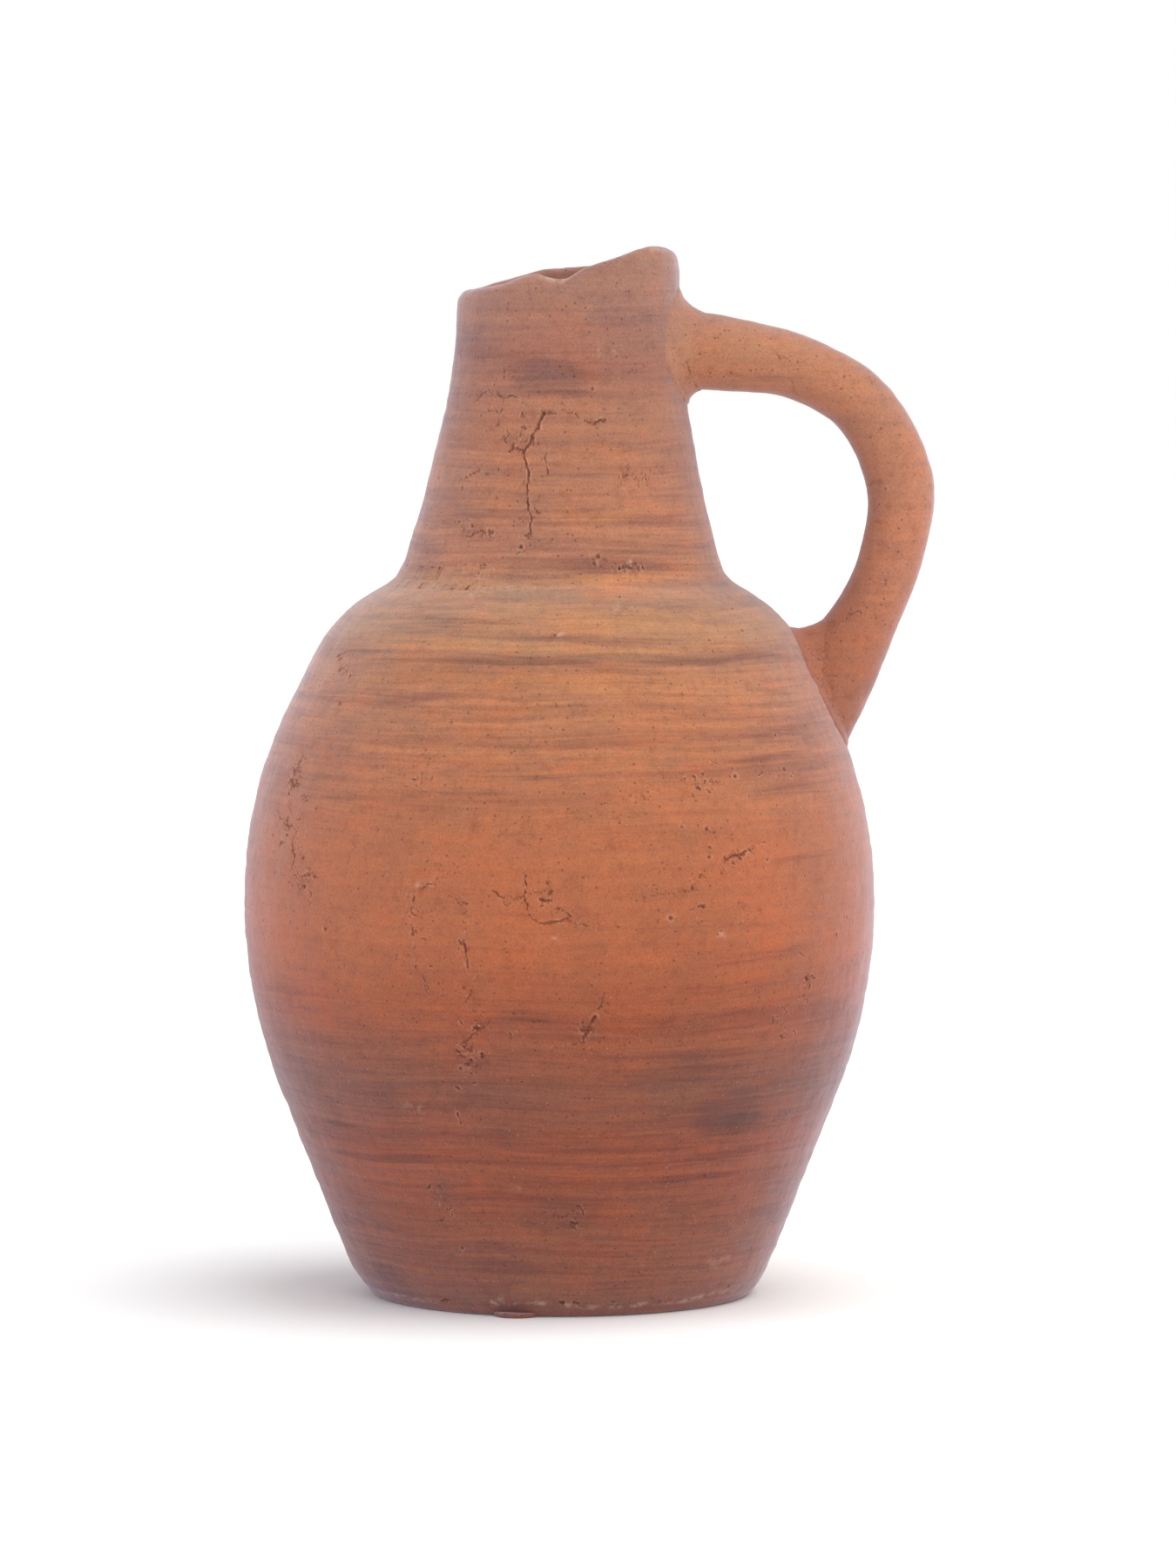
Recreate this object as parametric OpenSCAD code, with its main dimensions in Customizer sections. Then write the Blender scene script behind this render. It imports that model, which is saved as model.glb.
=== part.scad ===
// Terracotta pitcher, built from the pieces that its maker lutes together before firing:
// a floor slab, two thrown bowls joined at the belly, a thrown neck and a rolled handle,
// with the coils and collars of soft clay that close the neck's and the handle's joints.
// Origin: centre of the foot's underside. +Z is up, and the handle is on +X.

/* [Foot] */
// Radius of the foot where it meets the table
foot_r = 56; // [54:0.5:57]
// Thickness of the floor slab's edge, under the wall
slab_edge_t = 3; // [2.5:0.5:4]
// Thickness of the floor
floor_t = 9; // [8:0.5:11]
// Radius of the raised plug that locates the wall on the slab
plug_r = 46; // [44:0.5:46]

/* [Belly] */
// Greatest outer radius of the belly
belly_r = 90.75; // [88:0.25:93]
// Height of the belly's widest line, where the two bowls are joined
belly_z = 112; // [108:1:116]
// Radius of the outline's arc below the widest line
lower_arc_r = 137; // [130:1:145]
// Radius of the outline's arc above the widest line
upper_arc_r = 131; // [125:1:137]
// Slope of the wall above the foot, in degrees from upright
flare_a = 21.3; // [20:0.1:22]
// Thickness of the body's wall
wall_t = 7; // [6:0.5:7.5]
// Depth of the V groove that keys the two bowls
key_depth = 2.5; // [1.5:0.5:3]

/* [Shoulder] */
// Slope of the shoulder's straight stretch, in degrees from upright
shoulder_a = 26.5; // [25:0.5:28]
// Height where the straight stretch turns over into the shoulder
turn_z = 185; // [182:1:188]
// Radius of the shoulder's turn
turn_r = 38; // [34:1:42]
// Slope of the shoulder where it reaches the neck, in degrees from upright
seat_a = 60; // [56:1:64]

/* [Neck] */
// Outer radius of the neck at its foot
neck_foot_r = 46.8; // [45:0.2:48]
// Outer radius of the neck below the rim
neck_top_r = 32; // [30:0.5:34]
// Height at which the neck reaches that radius
neck_top_z = 289; // [285:1:293]
// Thickness of the neck's wall
neck_t = 6.2; // [5.4:0.2:7]
// Length of the spigot that drops into the shoulder's mouth
spigot_h = 3.5; // [2.5:0.5:4]
// Height of the rim on the pouring side
rim_low_z = 287.5; // [284:0.5:290]
// Height of the rim on the handle's side
rim_high_z = 300; // [296:0.5:304]

/* [Handle] */
// Thickness of the handle at the middle of its bow
grip_t = 18.6; // [16:0.2:21]
// Width of the handle at the middle of its bow
grip_w = 22; // [19:0.5:25]
// Radius of the peg that goes through the neck's wall
peg_r = 6.5; // [5:0.5:8]
// Radius of the hollow pressed into the shoulder for the handle's lower end
socket_r = 8; // [6:0.5:9]
// Depth of that hollow
socket_depth = 2.5; // [1.5:0.5:3.5]
// Thickness of the soft clay collars where the handle meets the walls
collar_t = 3; // [2:0.5:4]
// Distance that the collars reach out along the handle
collar_l = 13; // [9:1:15]

/* [Hidden] */
$fn = 96;

clay = [0.71, 0.42, 0.30];
slipped_clay = [0.62, 0.38, 0.29];
soft_clay = [0.76, 0.48, 0.34];
mm_per_step = 6;            // length of one straight step in a drawn arc
neck_top_a = 1.5;           // slope of the neck below the rim, in degrees from upright
fillet_r = 14;              // radius of the coil's hollow face at the neck's foot
floor_fillet_r = 8;         // radius inside, where the wall meets the floor
foot_turn_z = 9;            // height where the wall's outline turns in towards the foot
foot_edge = 0.8;            // worn edge under the foot
flake_r = 6.5;              // flake of clay left on the foot's front edge
flake_t = 1.6;
flake_at = [-11.8, -51.5];
key_w = 4;                  // width of the V groove in the belly joint
margin = 30;                // how far a cutting tool runs past what it cuts
tuck = 0.3;                 // depth at which a collar ends under the handle's skin

// The handle's centre line in the XZ plane, from inside the neck to inside the shoulder,
// each with the handle's thickness and width there as shares of the grip's. The first and
// the last knot only steer the curve.
handle_knots = [
    [ 10, 271.0, 1.25, 1.25],
    [ 26, 270.7, 1.25, 1.22],
    [ 47, 269.3, 1.14, 1.12],
    [ 68, 265.4, 1.02, 1.02],
    [ 86.6, 254.2, 0.97, 1.00],
    [ 97.3, 233.0, 1.04, 1.00],
    [ 95.0, 211.5, 0.97, 1.00],
    [ 87.8, 194.5, 1.02, 1.04],
    [ 77.0, 176.0, 1.36, 1.14],
    [ 66.0, 160.0, 1.62, 1.20],
    [ 56.0, 146.0, 1.70, 1.20]
];
neck_knot = 1;              // where the sweep starts
top_knot = 2;               // where the top collar has ended
bottom_knot = 7;            // where the bottom collar has not begun
wall_knot = 8;              // where the handle goes into the shoulder
shoulder_knot = 9;          // where the sweep ends
handle_steps = 4;           // sweep rings between two knots
collar_steps = 8;
handle_sides = 20;

// The rim's outline seen from the side: place across the mouth, and share of the rise.
rim_knots = [
    [-48, 0.00], [-34, 0.00], [-24, 0.04], [-12, 0.30], [0, 0.43],
    [12, 0.71], [24, 0.98], [34, 1.00], [48, 1.00]
];

function arc(centre, r, from_a, to_a) =
    let (n = ceil(abs(to_a - from_a) * PI / 180 * r / mm_per_step))
    [for (i = [0:n])
        let (a = from_a + (to_a - from_a) * i / n)
        centre + r * [cos(a), sin(a)]];

// A point on the smooth curve that passes through p1 and p2, at the share s between them.
function smooth(p0, p1, p2, p3, s) =
    0.5 * (2 * p1 + (p2 - p0) * s + (2 * p0 - 5 * p1 + 4 * p2 - p3) * s * s
        + (3 * p1 - p0 - 3 * p2 + p3) * s * s * s);

function along(knots, first, last, steps) =
    [for (i = [first:last - 1], k = [0:steps - 1])
        smooth(knots[i - 1], knots[i], knots[i + 1], knots[i + 2], k / steps),
     knots[last]];

// Landmarks of the body's outline
lower_c = [belly_r - lower_arc_r, belly_z];
upper_c = [belly_r - upper_arc_r, belly_z];
straight_p = upper_c + upper_arc_r * [cos(shoulder_a), sin(shoulder_a)];
turn_p = [straight_p.x - (turn_z - straight_p.y) * tan(shoulder_a), turn_z];
turn_c = turn_p - turn_r * [cos(shoulder_a), sin(shoulder_a)];
seat_p = turn_c + turn_r * [cos(seat_a), sin(seat_a)];
seat_z = seat_p.y + (seat_p.x - neck_foot_r) / tan(seat_a);
flare_p = lower_c + lower_arc_r * [cos(flare_a), -sin(flare_a)];

// Radius of the body's straight flare at height z, inset by t
function flare_x(z, t) = flare_p.x - (flare_p.y - z) * tan(flare_a) - t / cos(flare_a);

// The neck's outline is one hollow arc, found from its two ends and its slope at the top.
neck_foot_a = 2 * atan((neck_foot_r - neck_top_r) / (neck_top_z - seat_z)) - neck_top_a;
neck_arc_r = (neck_top_z - seat_z) / (sin(neck_foot_a) - sin(neck_top_a));
neck_c = [neck_foot_r + neck_arc_r * cos(neck_foot_a), seat_z + neck_arc_r * sin(neck_foot_a)];
neck_end_a = asin((neck_c.y - rim_high_z - margin) / neck_arc_r);
function neck_r(z) = neck_c.x - sqrt(neck_arc_r * neck_arc_r - pow(z - neck_c.y, 2));
mouth_r = neck_foot_r - neck_t / cos(neck_foot_a);
rebate_r = (neck_foot_r + mouth_r) / 2;

// Outlines, each from bottom to top and inset by t
function lower_outline(t) =
    arc(lower_c, lower_arc_r - t, -flare_a, 0);
function upper_outline(t) = concat(
    arc(upper_c, upper_arc_r - t, 0, shoulder_a),
    arc(turn_c, turn_r - t, shoulder_a, seat_a));
function neck_outline(t) =
    arc(neck_c, neck_arc_r + t, 180 + neck_foot_a, 180 + neck_end_a);
function reversed(list) = [for (i = [len(list) - 1:-1:0]) list[i]];
function last(list) = list[len(list) - 1];

module lathe(outline) {
    rotate_extrude() polygon(outline);
}

// ---- solids that the pieces are cut against ----

// The body as a solid lump, inset by t
module body_lump(t) {
    lathe(concat(
        [[0, belly_z / 2], [lower_outline(t)[0].x, lower_outline(t)[0].y]],
        lower_outline(t), upper_outline(t),
        [[neck_foot_r - t, seat_z - t / cos(seat_a)], [0, seat_z - t / cos(seat_a)]]));
}

// The neck as a solid lump, inset by t
module neck_lump(t) {
    lathe(concat([[0, seat_z - spigot_h]], [[neck_outline(t)[0].x, seat_z - spigot_h]],
        neck_outline(t), [[0, last(neck_outline(t)).y]]));
}

// Everything above the rim's outline
module above_rim() {
    rim = along(rim_knots, 1, len(rim_knots) - 2, 3);
    top = rim_high_z + 2 * margin;
    rotate([90, 0, 0])
        linear_extrude(height = 4 * neck_top_r, center = true)
            polygon(concat(
                [for (p = rim) [p.x, rim_low_z + (rim_high_z - rim_low_z) * p.y]],
                [[last(rim).x, top], [rim[0].x, top]]));
}

// ---- the handle's sweep ----

// Distance from a point of the centre line to the neck's wall, or to the shoulder's
function neck_gap(p) = p[0] - neck_r(p[1]);
function shoulder_gap(p) = ([p[0], p[1]] - turn_p) * [cos(shoulder_a), sin(shoulder_a)];

// A collar is thickest at the wall and thins out as a hollow curve.
function collar_growth(gap) =
    (collar_t + tuck) * pow(max(0, 1 - max(gap, 0) / collar_l), 2) - tuck;

// Rings of a sweep along a line, each grown by its own item of grow, or all by one number
function handle_rings(line, grow) =
    let (n = len(line))
    [for (i = [0:n - 1])
        let (before = line[max(i - 1, 0)], after = line[min(i + 1, n - 1)],
             run = [after[0] - before[0], after[1] - before[1]],
             across = [-run.y, run.x] / norm(run),
             extra = is_list(grow) ? grow[i] : grow,
             half_t = grip_t / 2 * line[i][2] + extra,
             half_w = grip_w / 2 * line[i][3] + extra)
        [for (k = [0:handle_sides - 1])
            let (a = 360 * k / handle_sides)
            [line[i][0] + across.x * half_t * cos(a), half_w * sin(a),
             line[i][1] + across.y * half_t * cos(a)]]];

module sweep(rings) {
    n = len(rings);
    m = len(rings[0]);
    polyhedron(
        points = [for (ring = rings) each ring],
        faces = concat(
            [[for (k = [m - 1:-1:0]) k]],
            [for (i = [0:n - 2], k = [0:m - 1])
                [i * m + (k + 1) % m, (i + 1) * m + (k + 1) % m, (i + 1) * m + k, i * m + k]],
            [[for (k = [0:m - 1]) (n - 1) * m + k]]));
}

module handle_rod() {
    sweep(handle_rings(along(handle_knots, neck_knot, shoulder_knot, handle_steps), 0));
}

// The peg's axis leaves the neck level, at the height of the handle's root
module peg_bore() {
    translate([mouth_r / 2, 0, handle_knots[neck_knot][1]])
        rotate([0, 90, 0]) cylinder(h = neck_foot_r - mouth_r / 2, r = peg_r);
}

// The hollow for the lower end lies square to the shoulder
module socket_tool() {
    translate([handle_knots[wall_knot][0], 0, handle_knots[wall_knot][1]])
        rotate([0, 90 - shoulder_a, 0]) cylinder(h = 2 * margin, r = socket_r, center = true);
}

module socket() {
    intersection() {
        socket_tool();
        difference() {
            body_lump(0);
            body_lump(socket_depth);
        }
    }
}

// ---- the pieces ----

module floor_slab() {
    edge_x = foot_r + (flare_x(foot_turn_z, 0) - foot_r) * slab_edge_t / foot_turn_z;
    color(clay) union() {
        lathe([[0, 0], [foot_r - foot_edge, 0], [foot_r, foot_edge], [edge_x, slab_edge_t],
            [plug_r, slab_edge_t], [plug_r, floor_t], [0, floor_t]]);
        translate([flake_at.x, flake_at.y, 0]) cylinder(h = flake_t, r = flake_r);
    }
}

module lower_bowl() {
    fillet_z = floor_t + floor_fillet_r * (1 - sin(flare_a));
    fillet_c = [flare_x(fillet_z, wall_t) - floor_fillet_r * cos(flare_a),
                floor_t + floor_fillet_r];
    edge_x = foot_r + (flare_x(foot_turn_z, 0) - foot_r) * slab_edge_t / foot_turn_z;
    key_x = belly_r - wall_t / 2;
    color(clay) lathe(concat(
        [[plug_r, slab_edge_t], [edge_x, slab_edge_t], [flare_x(foot_turn_z, 0), foot_turn_z]],
        lower_outline(0),
        [[key_x + key_w / 2, belly_z], [key_x, belly_z - key_depth], [key_x - key_w / 2, belly_z]],
        reversed(lower_outline(wall_t)),
        reversed(arc(fillet_c, floor_fillet_r, -90, -flare_a)),
        [[plug_r, floor_t]]));
}

module upper_bowl() {
    key_x = belly_r - wall_t / 2;
    mouth_z = last(upper_outline(wall_t)).y
        + (last(upper_outline(wall_t)).x - mouth_r) / tan(seat_a);
    color(clay) difference() {
        lathe(concat(
            [[key_x - key_w / 2, belly_z], [key_x, belly_z - key_depth], [key_x + key_w / 2, belly_z]],
            upper_outline(0),
            [[neck_foot_r, seat_z], [rebate_r, seat_z], [rebate_r, seat_z - spigot_h],
             [mouth_r, seat_z - spigot_h], [mouth_r, mouth_z]],
            reversed(upper_outline(wall_t))));
        socket();
    }
}

module neck() {
    color(slipped_clay) difference() {
        lathe(concat(
            [[mouth_r, seat_z - spigot_h], [rebate_r, seat_z - spigot_h], [rebate_r, seat_z]],
            neck_outline(0), reversed(neck_outline(neck_t))));
        above_rim();
        peg_bore();
    }
}

module neck_luting_coil() {
    turn_a = (seat_a - neck_foot_a) / 2;
    reach = fillet_r * tan(turn_a);
    low = [neck_foot_r, seat_z] + reach * [sin(seat_a), -cos(seat_a)];
    high = [neck_foot_r, seat_z] + reach * [-sin(neck_foot_a), cos(neck_foot_a)];
    fillet_c = low + fillet_r * [cos(seat_a), sin(seat_a)];
    color(soft_clay) difference() {
        lathe(concat(
            [[rebate_r, low.y - 1], [low.x, low.y - 1]],
            arc(fillet_c, fillet_r, 180 + seat_a, 180 + neck_foot_a),
            [[rebate_r, high.y]]));
        body_lump(0);
        neck_lump(0);
    }
}

module handle() {
    color(soft_clay) union() {
        difference() {
            handle_rod();
            neck_lump(0);
            body_lump(0);
        }
        intersection() {
            peg_bore();
            difference() {
                neck_lump(0);
                neck_lump(neck_t);
            }
        }
        socket();
    }
}

module collar(rings) {
    color(soft_clay) difference() {
        sweep(rings);
        handle_rod();
        neck_lump(0);
        body_lump(0);
    }
}

module handle_top_collar() {
    line = along(handle_knots, neck_knot, top_knot, collar_steps);
    collar(handle_rings(line, [for (p = line) collar_growth(neck_gap(p))]));
}

module handle_bottom_collar() {
    line = along(handle_knots, bottom_knot, shoulder_knot, collar_steps);
    collar(handle_rings(line, [for (p = line) collar_growth(shoulder_gap(p))]));
}

floor_slab();
lower_bowl();
upper_bowl();
neck();
neck_luting_coil();
handle();
handle_top_collar();
handle_bottom_collar();
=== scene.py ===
import math
import random

import bpy
import numpy as np
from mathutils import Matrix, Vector, kdtree


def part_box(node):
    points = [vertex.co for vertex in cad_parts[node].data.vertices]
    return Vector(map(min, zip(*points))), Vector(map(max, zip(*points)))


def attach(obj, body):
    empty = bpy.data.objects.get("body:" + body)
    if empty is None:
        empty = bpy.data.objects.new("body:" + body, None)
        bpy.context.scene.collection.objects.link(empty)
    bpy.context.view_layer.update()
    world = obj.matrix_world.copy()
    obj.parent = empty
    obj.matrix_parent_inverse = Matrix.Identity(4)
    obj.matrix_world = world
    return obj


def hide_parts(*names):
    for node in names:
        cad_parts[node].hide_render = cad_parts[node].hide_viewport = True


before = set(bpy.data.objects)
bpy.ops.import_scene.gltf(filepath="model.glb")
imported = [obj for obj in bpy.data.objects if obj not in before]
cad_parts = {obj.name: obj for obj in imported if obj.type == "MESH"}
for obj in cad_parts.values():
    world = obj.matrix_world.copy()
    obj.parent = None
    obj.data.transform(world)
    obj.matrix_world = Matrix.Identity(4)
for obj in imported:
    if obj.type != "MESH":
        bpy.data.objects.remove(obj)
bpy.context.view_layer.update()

MM = 0.001


# ---- Camera ---------------------------------------------------------------------------
# It stands a little over two metres off, level with the jug's lip, and looks slightly
# down at the middle of the jug, with the handle on the right.

view_centre = Vector((8.2, 0, 146.2)) * MM
view_height = 448 * MM                 # height of the whole view at the jug's axis
camera_distance = 2.2
camera_height = 0.297

camera_data = bpy.data.cameras.new("camera")
camera = bpy.data.objects.new("camera", camera_data)
bpy.context.collection.objects.link(camera)
camera.location = (view_centre.x, -camera_distance, camera_height)
camera.rotation_euler = (view_centre - camera.location).to_track_quat("-Z", "Y").to_euler()
camera_data.sensor_width = 36
camera_data.lens = camera_data.sensor_width * camera_distance / view_height
camera_data.clip_end = 20
bpy.context.scene.camera = camera


# ---- Floor, light and colour ----------------------------------------------------------
# A plain pale floor that runs out of sight, soft light from overhead and a little to the
# right, a warm panel in front on the right and a cool one on the left, and a pale room.

bpy.context.scene.view_settings.view_transform = "Standard"

bpy.ops.object.select_all(action="DESELECT")
bpy.ops.mesh.primitive_plane_add(size=16, location=(0, 0, 0))
floor = bpy.context.object
floor.name = "floor"
floor_paint = bpy.data.materials.new("pale_floor")
floor_paint.use_nodes = True
floor_shader = floor_paint.node_tree.nodes["Principled BSDF"]
floor_shader.inputs["Base Color"].default_value = (0.96, 0.96, 0.96, 1)
floor_shader.inputs["Roughness"].default_value = 0.9
floor.data.materials.append(floor_paint)

# The room looks white, and lights the jug a good deal less than that.
room_light = 0.74
world = bpy.data.worlds.new("pale_room")
world.use_nodes = True
background = world.node_tree.nodes["Background"]
background.inputs["Color"].default_value = (1.0, 1.0, 1.0, 1)
ray = world.node_tree.nodes.new("ShaderNodeLightPath")
brightness = world.node_tree.nodes.new("ShaderNodeMapRange")
brightness.inputs["To Min"].default_value = room_light
brightness.inputs["To Max"].default_value = 1.0
world.node_tree.links.new(ray.outputs["Is Camera Ray"], brightness.inputs["Value"])
world.node_tree.links.new(brightness.outputs["Result"], background.inputs["Strength"])
bpy.context.scene.world = world


def aim(lamp, place, target):
    lamp.location = place
    lamp.rotation_euler = (Vector(target) - Vector(place)).to_track_quat("-Z", "Y").to_euler()


middle = (0, 0, 0.15)
overhead_data = bpy.data.lights.new("overhead_light", "SUN")
overhead_data.energy = 1.6
overhead_data.angle = math.radians(56)
overhead_data.color = (1.0, 0.99, 0.97)
overhead = bpy.data.objects.new("overhead_light", overhead_data)
bpy.context.collection.objects.link(overhead)
aim(overhead, (0.48, -0.06, 1.4), middle)

for name, size, power, colour, place in [
        ("front_panel", 1.2, 11, (1.0, 0.96, 0.91), (0.9, -1.9, 0.9)),
        ("left_panel", 1.0, 8, (0.60, 0.72, 1.0), (-1.6, -0.4, 0.4))]:
    panel_data = bpy.data.lights.new(name, "AREA")
    panel_data.size = size
    panel_data.energy = power
    panel_data.color = colour
    panel = bpy.data.objects.new(name, panel_data)
    bpy.context.collection.objects.link(panel)
    aim(panel, place, middle)


# ---- The jug's skin -------------------------------------------------------------------
# The clay that shows, from the foot's underside over the belly, the shoulder and the lip
# and down again inside. It is thrown as one surface, ring by ring, so that the pieces it
# is parted into afterwards meet exactly at their joints.

sides = 144                            # columns of faces round the jug, before smoothing
smoothing = 2                          # subdivision levels, each halves the faces' size
shrink = 0.35 * MM                     # the skin lies this deep, and its lumps rise to the CAD's wall

slab_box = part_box("floor_slab")
lower_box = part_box("lower_bowl")
neck_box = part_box("neck")
foot_z = slab_box[0].z
seam_z = lower_box[0].z                # the wall stands on the slab here
floor_z = slab_box[1].z
belly_z = lower_box[1].z
belly_r = lower_box[1].x
lip_z = neck_box[1].z

foot_r = 56 * MM
plug_r = 46 * MM
wall = 7 * MM
lower_arc_r = 137 * MM                 # arc of the outline below the belly's widest line
upper_arc_r = 131 * MM                 # and above it
flare = math.radians(21.3)             # slope of the wall above the foot, from upright
shoulder = math.radians(26.5)          # slope of the shoulder's straight stretch
turn_z = 185 * MM                      # where the straight stretch turns over
turn_r = 38 * MM
seat = math.radians(60)                # slope of the shoulder at the neck
neck_foot_r = 46.8 * MM
neck_top_r = 32 * MM
neck_top_z = 289 * MM
neck_wall = 6.2 * MM
neck_lean = math.radians(1.5)          # slope of the neck just under the lip
fillet_r = 9 * MM                      # hollow in the corner between shoulder and neck
spigot = 3.5 * MM                      # the neck drops this far into the shoulder's mouth


def arc(centre, r, start, end, step):
    """Points (radius, height) along an arc, from one angle above the level to another."""
    count = max(1, round(abs(end - start) * r / step))
    angles = [start + (end - start) * i / count for i in range(count + 1)]
    return [(centre[0] + r * math.cos(a), centre[1] + r * math.sin(a)) for a in angles]


def line(start, end, step):
    """Points from start to end, both kept."""
    count = max(1, round(math.dist(start, end) / step))
    return [(start[0] + (end[0] - start[0]) * i / count,
             start[1] + (end[1] - start[1]) * i / count) for i in range(count + 1)]


lower_c = (belly_r - lower_arc_r, belly_z)
upper_c = (belly_r - upper_arc_r, belly_z)
flare_p = (lower_c[0] + lower_arc_r * math.cos(flare), belly_z - lower_arc_r * math.sin(flare))
straight_p = (upper_c[0] + upper_arc_r * math.cos(shoulder),
              belly_z + upper_arc_r * math.sin(shoulder))
turn_p = (straight_p[0] - (turn_z - straight_p[1]) * math.tan(shoulder), turn_z)
turn_c = (turn_p[0] - turn_r * math.cos(shoulder), turn_z - turn_r * math.sin(shoulder))
seat_p = (turn_c[0] + turn_r * math.cos(seat), turn_c[1] + turn_r * math.sin(seat))
seat_z = seat_p[1] + (seat_p[0] - neck_foot_r) / math.tan(seat)
neck_slope = 2 * math.atan((neck_foot_r - neck_top_r) / (neck_top_z - seat_z)) - neck_lean
neck_arc_r = (neck_top_z - seat_z) / (math.sin(neck_slope) - math.sin(neck_lean))
neck_c = (neck_foot_r + neck_arc_r * math.cos(neck_slope),
          seat_z + neck_arc_r * math.sin(neck_slope))


def flare_r(z):
    """Radius of the straight wall above the foot, at height z."""
    return flare_p[0] - (flare_p[1] - z) * math.tan(flare)


def neck_angle(z):
    """Angle on the neck's arc at height z."""
    return math.pi - math.asin((z - neck_c[1]) / neck_arc_r)


# The coil's hollow touches the shoulder and the neck this far from their corner.
reach = fillet_r * math.tan((seat - neck_slope) / 2)
coil_low = (neck_foot_r + reach * math.sin(seat), seat_z - reach * math.cos(seat))
coil_high = (neck_foot_r - reach * math.sin(neck_slope), seat_z + reach * math.cos(neck_slope))
coil_c = (coil_low[0] + fillet_r * math.cos(seat), coil_low[1] + fillet_r * math.sin(seat))

lip_r = neck_wall * 0.46               # the lip's rounding
lip_c = (neck_top_r - neck_wall / 2 - 0.2 * MM, lip_z - lip_r)
inner_mouth_r = neck_foot_r - neck_wall / math.cos(neck_slope)
lip_out_a = 0.15
inside_step = 22 * MM

# Each stretch of the skin, from the middle of the underside round to the middle of the
# floor inside, with the piece that it belongs to.
stretches = [
    ("floor_slab",
     line((4 * MM, foot_z), (foot_r - 3 * MM, foot_z), 9 * MM)
     + [(foot_r - 1.4 * MM, foot_z + 0.1 * MM), (foot_r - 0.4 * MM, foot_z + 0.8 * MM),
        (foot_r + 0.4 * MM, seam_z - 1 * MM), (flare_r(seam_z) - 0.9 * MM, seam_z)]),
    ("lower_bowl",
     [(flare_r(seam_z + 2 * MM) - 0.6 * MM, seam_z + 2 * MM)]
     + line((flare_r(9 * MM), 9 * MM), flare_p, 5 * MM)
     + arc(lower_c, lower_arc_r, -flare, 0, 5 * MM)[1:]),
    ("upper_bowl",
     arc(upper_c, upper_arc_r, 0, shoulder, 5 * MM)[1:]
     + line(straight_p, turn_p, 5 * MM)[1:]
     + arc(turn_c, turn_r, shoulder, seat, 4 * MM)[1:]
     + line(seat_p, coil_low, 5 * MM)[1:]),
    ("neck_luting_coil",
     arc(coil_c, fillet_r, math.pi + seat, math.pi + neck_slope, 1.6 * MM)[1:]),
    ("neck",
     arc(neck_c, neck_arc_r, neck_angle(coil_high[1]), neck_angle(lip_z - 8 * MM), 7 * MM)[1:]
     + arc(lip_c, lip_r, lip_out_a, math.pi - lip_out_a, 1.7 * MM)
     + arc(neck_c, neck_arc_r + neck_wall, neck_angle(lip_z - 9 * MM), neck_angle(seat_z),
           inside_step)
     + [(inner_mouth_r, seat_z - spigot)]),
    ("upper_bowl",
     [(inner_mouth_r + 0.8 * MM, seat_z - spigot - 2 * MM)]
     + arc(turn_c, turn_r - wall, seat - 0.12, shoulder, inside_step)
     + arc(upper_c, upper_arc_r - wall, shoulder, 0, inside_step)[1:]),
    ("lower_bowl",
     arc(lower_c, lower_arc_r - wall, 0, -flare, inside_step)[1:]
     + line((flare_p[0] - wall / math.cos(flare), flare_p[1]),
            (flare_r(17 * MM) - wall / math.cos(flare), 17 * MM), inside_step)[1:]
     + [(plug_r + 5.6 * MM, 13 * MM), (plug_r + 3.2 * MM, 10.3 * MM), (plug_r, floor_z)]),
    ("floor_slab",
     line((plug_r, floor_z), (4 * MM, floor_z), 12 * MM)[1:]),
]

# Thrown: a disc in the middle of the underside, then every ring is drawn out of the last.
first_r, first_z = stretches[0][1][0]
bpy.ops.object.select_all(action="DESELECT")
bpy.ops.mesh.primitive_circle_add(vertices=sides, radius=first_r, fill_type="TRIFAN",
                                  location=(0, 0, first_z), enter_editmode=True)
skin = bpy.context.object
skin.name = "skin"
bpy.ops.mesh.region_to_loop()
last_r, last_z = first_r, first_z
owners = [0] * sides
names = []
for name, rings in stretches:
    if name not in names:
        names.append(name)
        skin.data.materials.append(bpy.data.materials.new(name))
    for r, z in rings:
        if (r, z) == (first_r, first_z):
            continue
        bpy.ops.mesh.extrude_region_move(TRANSFORM_OT_translate={"value": (0, 0, z - last_z)})
        bpy.ops.transform.resize(value=(r / last_r, r / last_r, 1), center_override=(0, 0, 0))
        owners += [names.index(name)] * sides
        last_r, last_z = r, z
bpy.ops.mesh.edge_face_add()
bpy.ops.mesh.poke()
owners += [0] * sides
bpy.ops.mesh.select_all(action="SELECT")
bpy.ops.mesh.normals_make_consistent(inside=False)
bpy.ops.object.mode_set(mode="OBJECT")
bpy.ops.object.transform_apply(location=True, rotation=True, scale=True)
for face in skin.data.polygons:
    face.material_index = owners[face.index]


# The maker's hands leave the neck leaning a little towards the handle, and the lip cut at
# a slant, low over the pouring side, with a notch worn into the front.
lean = 2.4 * MM
lean_from = 150 * MM
slant_from = 240 * MM
lip_front = [(-34, -14.3), (-27, -12.6), (-21, -11.6), (-16, -10.6), (-10, -8.2), (-6, -7.6),
             (-2, -9.0), (2, -9.2), (5, -7.2), (8, -5.8), (16, -3.2), (21, -1.4), (25, -0.2),
             (29, -0.1), (32, -1.2), (36, -3.0)]
lip_back = [(-34, -14.0), (-24, -12.2), (-12, -8.8), (-5, -6.9), (3, -6.2), (10, -5.6),
            (16, -4.2), (24, -1.5), (29, -0.7), (36, -2.4)]


def ease(start, end, value):
    """0 before start, 1 after end, and a soft rise between them."""
    t = np.clip((value - start) / (end - start), 0, 1)
    return t * t * (3 - 2 * t)


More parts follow.
